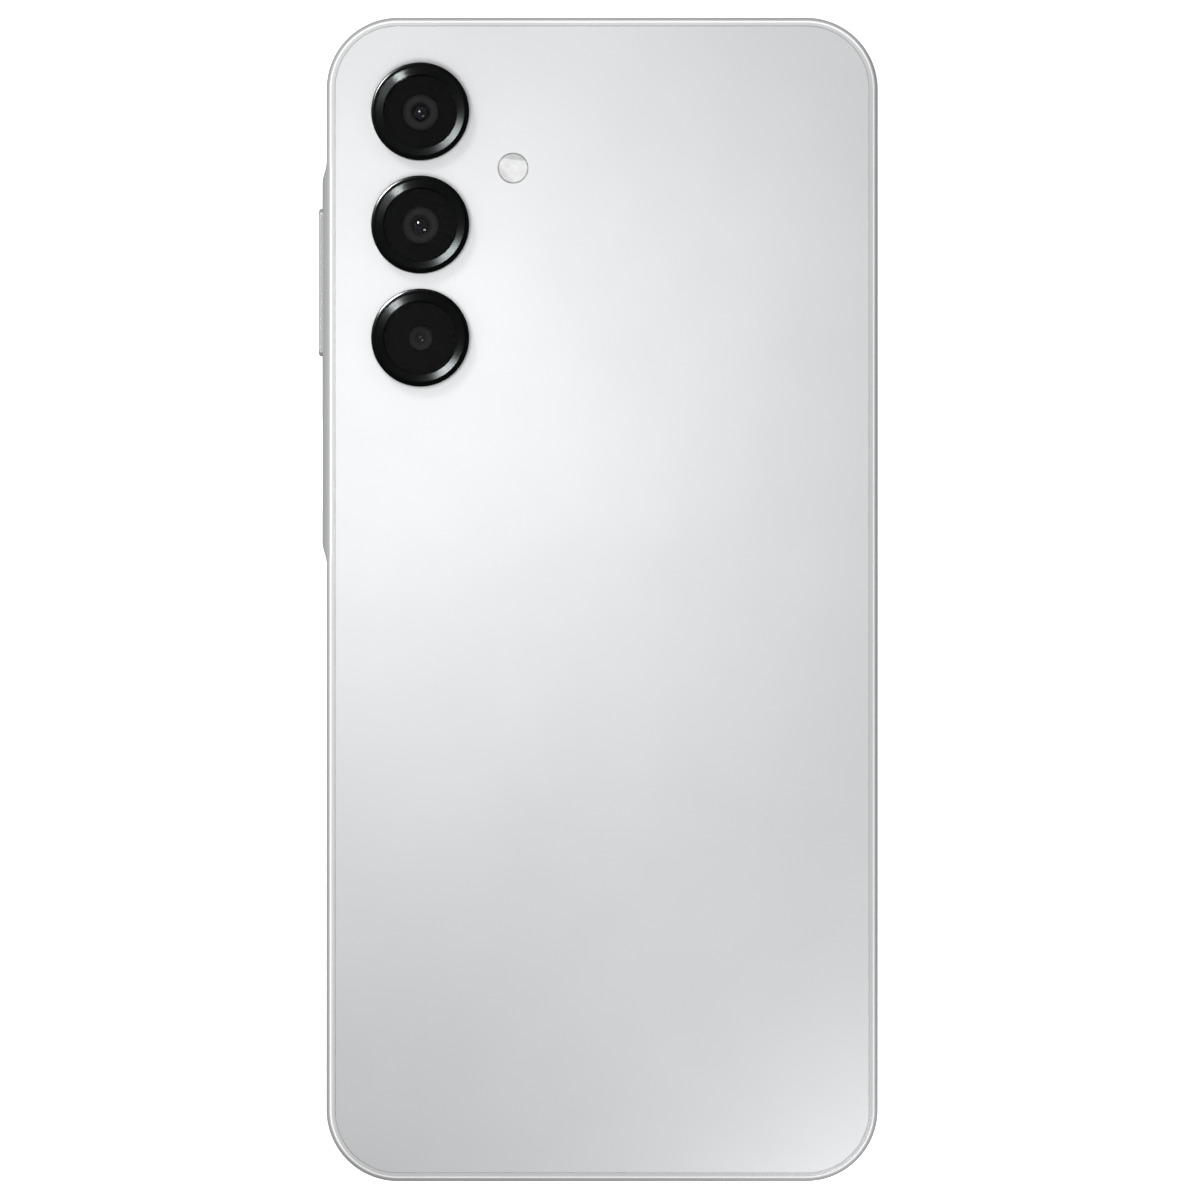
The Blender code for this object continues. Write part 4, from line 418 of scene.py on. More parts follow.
def frosted():
    """The diffuser: mottled, with painted shade at its rim, under its upper edge and at one lower
    side.
    """
    made = Paint("flash_diffuser", 0.45, Transmission_Weight=0.2, IOR=1.45)
    mottle = made.noise(1100, detail=5, roughness=0.6)
    dark, light = DIFFUSER_TONES
    tone_and_painted_shade = made.ramp(mottle, (0.3, dark), (0.7, light))
    # Painted shade under the upper edge and at one lower side.
    for way, start, end, depth in DIFFUSER_PAINTED_SHADES:
        tone_and_painted_shade = made.painted_shade(tone_and_painted_shade, made.dot(made.coords, way), start, end, depth)
    flat = made.add("ShaderNodeVectorMath", operation="MULTIPLY")
    made.link(made.coords, flat.inputs[0])
    flat.inputs[1].default_value = (1, 1, 0)
    reach = made.add("ShaderNodeVectorMath", operation="LENGTH")
    made.link(flat.outputs["Vector"], reach.inputs[0])
    # Painted shade along the rim.
    made.colour(made.painted_shade(tone_and_painted_shade, reach.outputs["Value"], *DIFFUSER_PAINTED_RIM_SHADE))
    made.bump(mottle, 0.2, 0.02 * MM)
    return made.material


PAINTS = {  # material name, colour, flake, roughness, coat roughness, and one more socket's value
    "cover": ("cover_pearl", (0.404, 0.409, 0.415), 0.25, 0.42, 0.06, "Specular IOR Level", 0.15),
    "frame": ("frame_paint", (0.84, 0.845, 0.855), 0.15, 0.2, 0.1, "Metallic", 0.85),
    # The keys' paint is the frame's paint made darker, as painted shade for the island's shadow on
    # the keys.
    "key": ("key_paint", (0.62, 0.625, 0.635), 0.12, 0.22, 0.1, "Metallic", 0.85),
}
SPECKLED = {  # material name, colour, tint's spread, grain's scale, roughness, bump, metallic
    "barrel": ("lens_barrel", (0.0055, 0.006, 0.006), 0.3, 3000, 0.5, 0.2, 0.0),
    # lens_baffle: black plastic, made darker than the barrel as painted shade in the lens's well.
    "baffle": ("lens_baffle", (0.0012, 0.0013, 0.0013), 0.3, 3000, 0.6, 0.1, 0.0),
    "phosphor": ("led_phosphor", (0.75, 0.62, 0.16), 0.15, 4000, 0.7, 0.2, 0.0),
    "black_plastic": ("black_plastic", (0.03, 0.03, 0.031), 0.25, 3500, 0.5, 0.35, 0.0),
    "grey_plastic": ("grey_plastic", (0.12, 0.12, 0.125), 0.15, 3500, 0.5, 0.3, 0.0),
    "rubber": ("seal_rubber", (0.05, 0.05, 0.05), 0.2, 2500, 0.8, 0.4, 0.0),
    "cast": ("cast_alloy", (0.42, 0.42, 0.41), 0.12, 900, 0.5, 0.4, 1.0),
    "steel": ("plain_steel", (0.55, 0.55, 0.54), 0.08, 1200, 0.3, 0.08, 1.0),
    "gold": ("gold_contact", (0.85, 0.62, 0.28), 0.05, 2500, 0.25, 0.05, 1.0),
    "copper": ("copper_film", (0.5, 0.27, 0.12), 0.15, 1500, 0.4, 0.1, 0.8),
    "flex": ("flex_film", (0.18, 0.075, 0.02), 0.2, 1500, 0.4, 0.1, 0.0),
    "wrap": ("battery_wrap", (0.05, 0.05, 0.056), 0.15, 1200, 0.55, 0.2, 0.0),
    "mesh": ("acoustic_mesh", (0.02, 0.02, 0.02), 0.4, 9000, 0.6, 0.6, 0.4),
}


def make_materials():
    found = {}
    for look, (*values, socket, level) in PAINTS.items():
        paint = pearl(*values)
        paint.set(socket, level)
        found[look] = paint.material
    for look, values in SPECKLED.items():
        found[look] = speckled(*values)

    rim = Paint("ring_rim", 0.12, 0.9)
    grain = rim.noise(5000, detail=3)
    rim.colour(rim.ramp(grain, (0.3, (0.001, 0.0012, 0.0012)), (0.75, (0.0018, 0.0021, 0.0021))))
    rim.bump(grain, 0.12, 0.004 * MM)
    found["rim"] = rim.material

    bevel = Paint("ring_bevel", 0.24, 1.0)
    lines = bevel.noise(1800, detail=6, roughness=0.7)
    bevel.colour(bevel.ramp(lines, (0.3, (0.005, 0.0055, 0.0055)), (0.8, (0.008, 0.0085, 0.0085))))
    bevel.bump(lines, 0.03, 0.003 * MM)
    bevel.brushed_round()
    found["bevel"] = bevel.material

    glass = Paint("window_glass", 0.02, Alpha=0.12, Specular_IOR_Level=0.08)
    smear = glass.noise(300, detail=2)
    glass.vary_roughness(smear, 0.0, 0.03)
    glass.colour(glass.ramp(smear, (0.3, (0.002, 0.002, 0.002)), (0.7, (0.004, 0.004, 0.004))))
    found["window"] = glass.material

    ink = Paint("window_mask", 0.35, Specular_IOR_Level=0.1)
    grain = ink.noise(2500, detail=2)
    ink.colour(ink.ramp(grain, (0.3, (0.001, 0.0012, 0.0012)), (0.7, (0.0018, 0.002, 0.002))))
    ink.bump(grain, 0.05, 0.004 * MM)
    found["mask"] = ink.material

    element = Paint("lens_element", 0.05, Specular_IOR_Level=0.3)
    bloom = element.noise(500, detail=1)
    element.colour(element.ramp(bloom, (0.3, (0.001, 0.001, 0.0012)), (0.7, (0.004, 0.003, 0.006))))
    found["element"] = element.material

    found["diffuser"] = frosted()

    screen = Paint("screen_border", 0.03, Coat_Weight=1.0, Coat_Roughness=0.02)
    depth = screen.noise(200, detail=2)
    screen.colour(screen.ramp(depth, (0.3, (0.003, 0.003, 0.0035)), (0.7, (0.005, 0.005, 0.0055))))
    found["screen_border"] = screen.material
    active = Paint("screen_active", 0.06, Coat_Weight=1.0, Coat_Roughness=0.02)
    cells = active.cells(12000)
    active.colour(active.ramp(cells, (0.2, (0.014, 0.016, 0.021)), (0.9, (0.022, 0.024, 0.031))))
    found["screen_active"] = active.material

    board = Paint("circuit_board", 0.4)
    tracks = board.add("ShaderNodeTexBrick")
    tracks.inputs["Scale"].default_value = 700
    tracks.inputs["Color1"].default_value = (0.012, 0.09, 0.055, 1)
    tracks.inputs["Color2"].default_value = (0.016, 0.11, 0.07, 1)
    tracks.inputs["Mortar"].default_value = (0.03, 0.17, 0.1, 1)
    board.link(board.coords, tracks.inputs["Vector"])
    board.colour(tracks.outputs["Color"])
    board.bump(tracks.outputs["Fac"], 0.1)
    found["board"] = board.material
    return found


LOOK = make_materials()


def dress(obj, look, slot, body, *nodes, crisp=CRISP):
    """Gives a new piece its shading, material and body, and hides the CAD nodes it stands for; slot
    is not used.

    The shading is smooth, but flat faces stay flat and edges sharper than crisp stay crisp.
    """
    obj.data.shade_smooth()
    obj.data.set_sharp_from_angle(angle=math.radians(crisp))
    obj.modifiers.new("flat_faces", "WEIGHTED_NORMAL").keep_sharp = True
    if not obj.data.materials:
        obj.data.materials.append(LOOK[look])
    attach(obj, body)
    if nodes:
        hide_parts(*nodes)


def paint_node(node, look):
    slots = frame["nodes"][node].data.materials
    slots.clear()
    slots.append(LOOK[look])


# ---- Side frame ----

BREAK = 0.05 * MM  # small clearances and broken edges
FRONT_EDGE = 0.6 * MM
REAR_EDGE = (1.22 * MM, 0.95 * MM)  # how far in and down the rounded edge round the back reaches
ISLAND_EDGE_DROP = 2.85 * MM  # how far down it reaches where the island stands out in full
COVER_SEAM = 1.28 * MM
GLASS_SEAM = 0.7 * MM
WALL = 2.4 * MM
PLATE_GROOVE = 0.5 * MM
LEDGE_REACH = 2.5 * MM
EDGE_STEPS = 12

ISLAND_TO_TOP = 20.3 * MM
ISLAND_LENGTH = 56.8 * MM
ISLAND_TOP_Y = HALF_LENGTH - ISLAND_TO_TOP
ISLAND_FOOT_Y = ISLAND_TOP_Y - ISLAND_LENGTH
ISLAND_RAMP = 3.0 * MM
RAMP_STEPS = 16

PLATE_THICKNESS = 0.6 * MM
SCREEN_LEDGE_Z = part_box("display_gasket")[1].z + BREAK
PLATE_LOW_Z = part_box("chassis_plate")[0].z
PLATE_HIGH_Z = PLATE_LOW_Z + PLATE_THICKNESS + BREAK
COVER_LEDGE_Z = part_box("cover_gasket")[0].z - BREAK


def frame_section(rise):
    """The wall's outline as (inset, z), where it stands out by rise."""
    front = FRONT_EDGE + rise
    front_edge = arc((FRONT_EDGE, FRONT_LIP + front), front, 270, 180, EDGE_STEPS)
    reach, drop = REAR_EDGE
    drop += (ISLAND_EDGE_DROP - drop) * rise / ISLAND_RISE
    turn = arc((0, 0), 1, 180, 90, 2 * EDGE_STEPS)
    rear_edge = [(reach + (reach + rise) * u, REAR_Z - drop + drop * v) for u, v in turn]
    plate_under = PLATE_LOW_Z - BREAK
    return [
        (GLASS_SEAM, SCREEN_LEDGE_Z),
        (GLASS_SEAM, FRONT_LIP + 0.03 * MM),
        (GLASS_SEAM - 0.03 * MM, FRONT_LIP),
        *front_edge,
        *rear_edge,
        (COVER_SEAM - 0.02 * MM, REAR_Z - 0.005 * MM),
        (COVER_SEAM, REAR_Z - 0.025 * MM),
        (COVER_SEAM, COVER_LEDGE_Z),
        (WALL, COVER_LEDGE_Z),
        (WALL, PLATE_HIGH_Z),
        (WALL - PLATE_GROOVE, PLATE_HIGH_Z),
        (WALL - PLATE_GROOVE, plate_under),
        (LEDGE_REACH, plate_under),
        (LEDGE_REACH, SCREEN_LEDGE_Z),
    ]


def island_rises():
    """(y, rise) down the key side."""
    shares = [i / RAMP_STEPS for i in range(RAMP_STEPS + 1)]
    ramp = [(s * ISLAND_RAMP, ISLAND_RISE * s * s * (3 - 2 * s)) for s in shares]
    down = [(ISLAND_TOP_Y - way, rise) for way, rise in ramp]
    up = [(ISLAND_FOOT_Y + way, rise) for way, rise in reversed(ramp)]
    return down + up


def frame_loops():
    straight_x, straight_y = HALF_WIDTH - CORNER_RADIUS, HALF_LENGTH - CORNER_RADIUS
    stations = []
    for index, (sx, sy) in enumerate(((1, -1), (1, 1), (-1, 1), (-1, -1))):
        if index == 3:
            stations += [((-straight_x, y), 180, rise) for y, rise in island_rises()]
        for step in range(CORNER_STEPS + 1):
            angle = 270 + 90 * index + 90 * step / CORNER_STEPS
            stations.append(((sx * straight_x, sy * straight_y), angle, 0.0))
    loops = []
    for centre, degrees, rise in stations:
        angle = math.radians(degrees)
        way = (math.cos(angle), math.sin(angle))
        reach = [(CORNER_RADIUS - inset, z) for inset, z in frame_section(rise)]
        loops.append([(centre[0] + way[0] * r, centre[1] + way[1] * r, z) for r, z in reach])
    return loops


def mouth(name, outline_at, face, depth, chamfer, place, way):
    """Cutter for an opening: it starts outside the face, has a chamfered mouth and runs to depth.

    outline_at takes an inset, and way points out of the face, 1 or -1.
    """
    loops = [
        place(outline_at(-chamfer), face + way * MM),
        place(outline_at(-chamfer), face),
        place(outline_at(0), face - way * chamfer),
        place(outline_at(0), face - way * depth),
    ]
    return loft(name, loops)


KEY_Z = middle("volume_key").z
VOLUME_Y = middle("volume_key").y
POWER_Y = middle("power_key").y
KEY_SHOULDER = 1.1 * MM
VOLUME_CAP = (20.9 * MM, 2.3 * MM)
POWER_CAP = (14.0 * MM, 2.7 * MM)
KEY_GAP = 0.12 * MM
KEY_POCKET = (2.4 * MM, 0.5 * MM)  # how much longer and wider than the cap
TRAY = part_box("sim_tray")
TRAY_MIDDLE = (TRAY[0] + TRAY[1]) / 2
TRAY_CENTRE = (TRAY_MIDDLE.y, TRAY_MIDDLE.z)
TRAY_DOOR = (TRAY[1].y - TRAY[0].y, TRAY[1].z - TRAY[0].z)
TRAY_GAP = 0.07 * MM
PORT_SIZE = size("usb_port_shell")
PORT_CENTRE = (PORT_MIDDLE.x, EDGE_Z)
PORT_GAP = 0.12 * MM
PORT_STEPS = 24
SPEAKER_FIRST_X = -10.5 * MM
SPEAKER_PITCH = 3.5 * MM
SPEAKER_XS = [SPEAKER_FIRST_X - SPEAKER_PITCH * i for i in range(5)]
SPEAKER_SLOT = (2.4 * MM, 1.3 * MM)
BOTTOM_MIC_X = 9.5 * MM
TOP_MIC_X = 12.0 * MM
MIC_RADIUS = 0.5 * MM
THROUGH_WALL = WALL + MM


def key_cutters(name, y, cap):
    centre = (y, KEY_Z)
    outline_at = stadium_shape(*cap, centre, gap=KEY_GAP)
    depth = KEY_SHOULDER + 0.1 * MM
    slot = mouth(f"{name}_slot", outline_at, ISLAND_X, depth, 0.1 * MM, on_x, -1)
    pocket = rounded(cap[0] + KEY_POCKET[0], cap[1] + KEY_POCKET[1], 0.1 * MM, 2, centre)
    start, end = ISLAND_X + KEY_SHOULDER, -HALF_WIDTH + THROUGH_WALL
    return slot, prism(f"{name}_pocket", pocket, on_x, start, end)


def edge_cutters():
    """Cutters for the openings in the tray's side and in the bottom and top edges."""
    tray_at = stadium_shape(*TRAY_DOOR, TRAY_CENTRE, gap=TRAY_GAP)
    port_at = stadium_shape(PORT_SIZE.x, PORT_SIZE.z, PORT_CENTRE, PORT_STEPS, PORT_GAP)
    openings = [
        ("tray_slot", tray_at, 0.08 * MM, on_x, HALF_WIDTH, 1),
        ("port", port_at, 0.25 * MM, on_y, -HALF_LENGTH, -1),
    ]
    for i, x in enumerate(SPEAKER_XS):
        slot_at = stadium_shape(*SPEAKER_SLOT, (x, EDGE_Z))
        openings.append((f"slot_{i}", slot_at, 0.15 * MM, on_y, -HALF_LENGTH, -1))
    for name, x, face, way in (
        ("mic_low", BOTTOM_MIC_X, -HALF_LENGTH, -1),
        ("mic_top", TOP_MIC_X, HALF_LENGTH, 1),
    ):

        def mic_at(inset, x=x):
            return circle((x, EDGE_Z), MIC_RADIUS - inset, HOLE_STEPS)

        openings.append((name, mic_at, 0.12 * MM, on_y, face, way))
    return [
        mouth(name, outline_at, face, THROUGH_WALL, chamfer, place, way)
        for name, outline_at, chamfer, place, face, way in openings
    ]


def side_frame():
    body = loft("side_frame_shell", frame_loops(), cyclic=True)
    volume_cutters = key_cutters("volume", VOLUME_Y, VOLUME_CAP)
    power_cutters = key_cutters("power", POWER_Y, POWER_CAP)

    bracket = size("key_bracket")
    centre = (middle("key_bracket").y, KEY_Z)
    nest = rounded(bracket.y + 0.2 * MM, bracket.z + 0.2 * MM, BREAK, 1, centre)
    flex_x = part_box("key_flex")[0].x - 0.22 * MM
    bracket_nest = prism("bracket_nest", nest, on_x, flex_x, -HALF_WIDTH + THROUGH_WALL)

    mesh_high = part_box("earpiece_mesh")[1]
    mesh = size("earpiece_mesh")
    centre = (0, mesh_high.y - mesh.y / 2 - 0.1 * MM)
    notch = rounded(mesh.x + 0.1 * MM, mesh.y + 0.3 * MM, 0.1 * MM, 6, centre)
    ear_notch = prism("ear_notch", notch, on_z, -MM, mesh_high.z + 0.1 * MM)

    cut(body, *volume_cutters, *power_cutters, bracket_nest, *edge_cutters(), ear_notch)
    dress(body, "frame", "frame_silver", "phone", "side_frame")


# ---- Rear cover and screen ----

FLASH = middle("flash_window")
FLASH_RADIUS = size("flash_window").x / 2
NECK_RADIUS = 6.2 * MM
COVER_GROWTH = 0.045 * MM  # how far its edge reaches past the CAD's, into the gap at the frame


def rear_cover():
    inset = HALF_WIDTH - COVER_HIGH.x - COVER_GROWTH

    def outline_at(extra):
        return body_outline(inset + extra)

    cover = loft("rear_cover_shell", rounded_loops(outline_at, COVER_Z, REAR_Z, BREAK, 6, on_z))
    cutters = []
    for name, centre in CAMERAS.items():
        hole = circle(centre, NECK_RADIUS + 0.15 * MM)
        cutters.append(prism(f"{name}_hole", hole, on_z, COVER_Z - MM, REAR_Z + MM))
    for name, gap, low, high in (
        ("flash_hole", 0.02 * MM, COVER_Z - MM, REAR_Z - BREAK),
        ("flash_mouth", 0.05 * MM, REAR_Z - BREAK - 0.01 * MM, REAR_Z + MM),
    ):
        hole = circle(FLASH, FLASH_RADIUS + gap, LENS_STEPS)
        cutters.append(prism(name, hole, on_z, low, high))
    cut(cover, *cutters)
    dress(cover, "cover", "cover_silver", "phone", "rear_cover")


GLASS_GROWTH = 0.03 * MM  # how far its edge reaches past the CAD's
GLASS_EDGE = 0.25 * MM
ACTIVE = (71.3 * MM, 154.5 * MM)
CHIN_SHIFT = 1.1 * MM  # how far the active area lies above the middle
PRINT_DEPTH = 0.02 * MM
NOTCH = (4.6 * MM, 4.7 * MM)
FRONT_LENS_Y = HALF_LENGTH - 5.9 * MM
FRONT_LENS = 0.95 * MM
FRONT_LENS_SEAT = 0.45 * MM  # how deep its ring sits in the glass


def screen():
    """The glass, with its printed border and the active area as separate faces underneath."""
    inset = HALF_WIDTH - GLASS_HIGH.x - GLASS_GROWTH
    top = GLASS_HIGH.z
    loops = [on_z(body_outline(inset + BREAK), top), on_z(body_outline(inset), top - BREAK)]
    for extra, height in arc((GLASS_EDGE, GLASS_EDGE), GLASS_EDGE, 180, 270, 8):
        loops.append(on_z(body_outline(inset + extra), height))
    radius = CORNER_RADIUS - (HALF_WIDTH - ACTIVE[0] / 2)

    def active_at(extra):
        width, length = (side - 2 * extra for side in ACTIVE)
        return rounded(width, length, radius - extra, CORNER_STEPS, (0, CHIN_SHIFT))

    loops += [on_z(active_at(0), 0), on_z(active_at(PRINT_DEPTH), 0.004 * MM)]
    glass = loft("screen_glass", loops)
    glass.data.materials.append(LOOK["screen_border"])
    glass.data.materials.append(LOOK["screen_active"])
    for face in glass.data.polygons:
        inner = abs(face.center.x) < 30 * MM and abs(face.center.y) < 70 * MM
        face.material_index = int(inner and face.normal.z < -0.9)
    dress(glass, "screen_border", "screen_glass", "phone", "display_glass")

    hole = circle((0, FRONT_LENS_Y), FRONT_LENS + 0.22 * MM, SMALL_ROUND_STEPS)
    drop = rounded(*NOTCH, NOTCH[0] / 2 - PRINT_DEPTH, 20, (0, FRONT_LENS_Y + BREAK))
    notch = prism("front_camera_notch", drop, on_z, PRINT_DEPTH, 0.002 * MM)
    cut(glass, prism("lens_hole", hole, on_z, -MM, FRONT_LENS_SEAT))
    cut(notch, prism("notch_hole", hole, on_z, -MM, MM))
    dress(notch, "screen_border", "screen_glass", "phone")


def front_lens():
    """The ring and the front element that show through the hole in the screen's print."""
    place = (0, FRONT_LENS_Y)
    reach = FRONT_LENS + 0.2 * MM
    back = FRONT_LENS_SEAT - 0.02 * MM
    ring_profile = [
        (FRONT_LENS, back),
        (reach, back),
        (reach, 0.03 * MM),
        (reach - 0.03 * MM, 0.01 * MM),
        (FRONT_LENS + 0.06 * MM, 0.05 * MM),
        (FRONT_LENS, 0.16 * MM),
    ]
    trim = turned("front_lens_ring", ring_profile, place, SMALL_ROUND_STEPS, closed=True)
    dress(trim, "steel", "steel", "phone", crisp=TURNED_CRISP)

    ball, edge = 1.3 * FRONT_LENS, 0.98 * FRONT_LENS
    limit = math.degrees(math.acos(edge / ball))
    dome = arc((0, 0.1 * MM + ball), ball, -limit, -90, 12)
    profile = [(0, back), (edge, back), *dome]
    element = turned("front_lens_element", profile, place, SMALL_ROUND_STEPS)
    dress(element, "element", "black_plastic", "phone", crisp=TURNED_CRISP)


# ---- Rear cameras and flash ----

RING_LOW, RING_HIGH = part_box("camera_ring_main")
RING_TOP = RING_HIGH.z
RING_RADIUS = (RING_HIGH.x - RING_LOW.x) / 2
WINDOW_LOW, WINDOW_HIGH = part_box("camera_window_main")
WINDOW_RADIUS = (WINDOW_HIGH.x - WINDOW_LOW.x) / 2
BEVEL_OUTER = 6.22 * MM
BEVEL_INNER = WINDOW_RADIUS + 0.06 * MM
RING_FLANGE_Z = REAR_Z + 0.02 * MM
RING_SEAT_Z = WINDOW_LOW.z - BREAK
RING_BORE = 4.6 * MM
RING_EDGE = 0.16 * MM
RING_FOLD = (5.6 * MM, 0.2 * MM)  # radius and depth of where rim and bevel meet underneath
BEVEL_DEPTH = 0.38 * MM
WINDOW_CROWN = 0.2 * MM  # how far the middle of a window stands over its edge
WINDOW_STEPS = 12
PRINT_THICKNESS = 0.02 * MM
PRINT_GAP = 0.005 * MM
MASKS = {"ultrawide": 2.62 * MM, "main": 2.62 * MM, "macro": 1.72 * MM}  # aperture radii


def camera_ring(name, centre):
    """The rim with its groove, and the brushed inner bevel as a surface of its own."""
    fold_radius, fold_depth = RING_FOLD
    fold = (BEVEL_OUTER - 0.08 * MM, RING_TOP - fold_depth)
    rim_profile = [
        (RING_BORE, RING_SEAT_Z),
        (RING_BORE, RING_LOW.z),
        (NECK_RADIUS, RING_LOW.z),
        (NECK_RADIUS, RING_FLANGE_Z),
        (RING_RADIUS - 0.1 * MM, RING_FLANGE_Z),
        (RING_RADIUS, RING_FLANGE_Z + 0.1 * MM),
        *arc((RING_RADIUS - RING_EDGE, RING_TOP - 0.12 * MM - RING_EDGE), RING_EDGE, 0, 90, 8),
        (6.44 * MM, RING_TOP - 0.05 * MM),
        (6.36 * MM, RING_TOP - 0.02 * MM),
        (6.33 * MM, RING_TOP - 0.1 * MM),
        (6.27 * MM, RING_TOP - 0.1 * MM),
        (6.24 * MM, RING_TOP),
        (BEVEL_OUTER, RING_TOP - 0.01 * MM),
        fold,
        (fold_radius, RING_SEAT_Z),
    ]
    rim = turned(f"ring_rim_{name}", rim_profile, centre, closed=True)
    dress(rim, "rim", "ring_black", "phone", f"camera_ring_{name}", crisp=TURNED_CRISP)

    foot = RING_TOP - BEVEL_DEPTH
    bevel_profile = [
        (BEVEL_OUTER - 0.01 * MM, RING_TOP - 0.012 * MM),
        (BEVEL_INNER + 0.06 * MM, foot + 0.02 * MM),
        (BEVEL_INNER, foot - 0.04 * MM),
        (BEVEL_INNER, RING_SEAT_Z + 0.02 * MM),
        (fold_radius, RING_SEAT_Z + 0.01 * MM),
        fold,
    ]
    bevel = turned(f"ring_bevel_{name}", bevel_profile, centre, closed=True)
    dress(bevel, "bevel", "ring_black", "phone", crisp=TURNED_CRISP)


def crown_at(reach):
    """How far a window's curved face stands over its edge."""
    ball = (WINDOW_RADIUS**2 + WINDOW_CROWN**2) / (2 * WINDOW_CROWN)
    return math.sqrt(ball**2 - reach**2) - ball + WINDOW_CROWN


def camera_window(name, centre):
    low, high = WINDOW_LOW.z, WINDOW_HIGH.z - WINDOW_CROWN
    edge = WINDOW_RADIUS - 0.04 * MM
    reaches = [edge * i / WINDOW_STEPS for i in range(WINDOW_STEPS + 1)]
    profile = [(r, low + crown_at(r)) for r in reaches]
    profile += [(WINDOW_RADIUS, low + BREAK), (WINDOW_RADIUS, high - BREAK)]
    profile += [(r, high + crown_at(r)) for r in reversed(reaches)]
    window = turned(f"window_glass_{name}", profile, centre)
    dress(window, "window", "window_glass", "phone", f"camera_window_{name}", crisp=TURNED_CRISP)


def mask(name, centre, aperture):
    """The black printed ring on the underside of a window."""
    reach, count = WINDOW_RADIUS - 0.1 * MM, 10
    steps = [aperture + (reach - aperture) * i / count for i in range(count + 1)]
    face = [(r, WINDOW_LOW.z - PRINT_GAP + crown_at(r)) for r in steps]
    profile = face + [(r, z - PRINT_THICKNESS) for r, z in reversed(face)]
    made = turned(f"window_mask_{name}", profile, centre, closed=True)
    dress(made, "mask", "window_glass", "phone", crisp=TURNED_CRISP)


LENS_LOW, LENS_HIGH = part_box("main_camera_lens")
LENS_TOP = LENS_HIGH.z
WELL_DEPTH = 1.1 * MM
ELEMENT_DEPTH = 0.62 * MM
LENSES = {  # radii of the barrel, its step, its pupil and its front element's curve
    "main": (2.5 * MM, 1.6 * MM, 1.12 * MM, 3.6 * MM),
    "ultrawide": (2.45 * MM, 1.45 * MM, 1.15 * MM, 2.4 * MM),
    "macro": (1.6 * MM, 0.95 * MM, 0.36 * MM, 1.5 * MM),
}
COLLARS = {"ultrawide": 3.0 * MM, "macro": 2.2 * MM}
COLLAR_WALL = 0.13 * MM
COLLAR_HEIGHT = 0.9 * MM
SHOULDER_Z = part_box("upper_inner_cover")[1].z - COLLAR_HEIGHT


def lens_stack(name, body, foot, *nodes):
    """A lens seen through its window: its barrel, the baffle in it, dark with painted shade, and the
    front element.
    """
    outer, step, pupil, ball = LENSES[name]
    centre, top = CAMERAS[name], LENS_TOP
    base = outer + 0.4 * MM
    low = top - WELL_DEPTH
    barrel_profile = [
        (step, low),
        (pupil, low),
        (pupil, foot),
        (base, foot),
        (base, top - 0.45 * MM),
        (outer + 0.12 * MM, top - 0.4 * MM),
        (outer + 0.1 * MM, top - 0.05 * MM),
        (outer, top),
        (outer - 0.2 * MM, top),
        (outer - 0.28 * MM, top - 0.1 * MM),
        (step + 0.1 * MM, top - 0.16 * MM),
        (step, top - 0.2 * MM),
    ]
    barrel = turned(f"lens_barrel_{name}", barrel_profile, centre, LENS_STEPS, closed=True)
    dress(barrel, "barrel", "black_plastic", body, *nodes, crisp=TURNED_CRISP)

    wall, floor = step - 0.01 * MM, low + 0.01 * MM
    middle_wall = (wall + pupil) / 2
    baffle_profile = [
        (pupil + 0.01 * MM, floor),
        (wall, floor),
        (wall, top - 0.3 * MM),
        (wall - 0.05 * MM, top - 0.32 * MM),
        (middle_wall, top - 0.42 * MM),
        (middle_wall, top - 0.5 * MM),
        (pupil + 0.04 * MM, top - 0.58 * MM),
        (pupil + 0.01 * MM, top - 0.64 * MM),
    ]
    # The baffle is black plastic, darker than the barrel as painted shade in the well.
    baffle = turned(f"lens_baffle_{name}", baffle_profile, centre, LENS_STEPS, closed=True)
    dress(baffle, "baffle", "black_plastic", body, crisp=TURNED_CRISP)

    limit = math.degrees(math.acos(pupil / ball))
    dome = arc((0, top - ELEMENT_DEPTH - ball), ball, limit, 90, 12)
    profile = [(0, floor), (pupil, floor), *dome]
    element = turned(f"lens_element_{name}", profile, centre, LENS_STEPS)
    dress(element, "element", "black_plastic", body, crisp=TURNED_CRISP)


def camera_block(name):
    """A fixed camera's square body, with the collar that holds its barrel."""
    low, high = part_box(f"{name}_camera")
    side = high.x - low.x
    centre, collar = CAMERAS[name], COLLARS[name]

    def outline_at(inset):
        wide = side - 2 * inset
        return rounded(wide, wide, 0.5 * MM - inset, 8, centre)

    block = loft(f"{name}_body", rounded_loops(outline_at, low.z, SHOULDER_Z, 0.15 * MM, 4, on_z))
    inside, rim_z = collar - COLLAR_WALL, SHOULDER_Z + COLLAR_HEIGHT
    wall = [
        (inside, SHOULDER_Z - 0.1 * MM),
        (collar, SHOULDER_Z - 0.1 * MM),
        (collar, rim_z - BREAK),
        (collar - BREAK, rim_z),
        (inside, rim_z),
    ]
    tube = turned(f"{name}_collar", wall, centre, LENS_STEPS, closed=True)
    body = combined(block, "UNION", tube)
    dress(body, "grey_plastic", "grey_plastic", "phone", f"{name}_camera")


def rear_cameras():
    for name, centre in CAMERAS.items():
        camera_ring(name, centre)
        camera_window(name, centre)
    for name, aperture in MASKS.items():
        mask(name, CAMERAS[name], aperture)
    lens_stack("main", "focus_lens", LENS_LOW.z, "main_camera_lens")
    for name in COLLARS:
        camera_block(name)
        lens_stack(name, "phone", SHOULDER_Z + 0.01 * MM)
    paint_node("main_camera", "grey_plastic")


PRISM_COUNT = 5  # rings of the flash lens
PRISM_DEPTH = 0.2 * MM


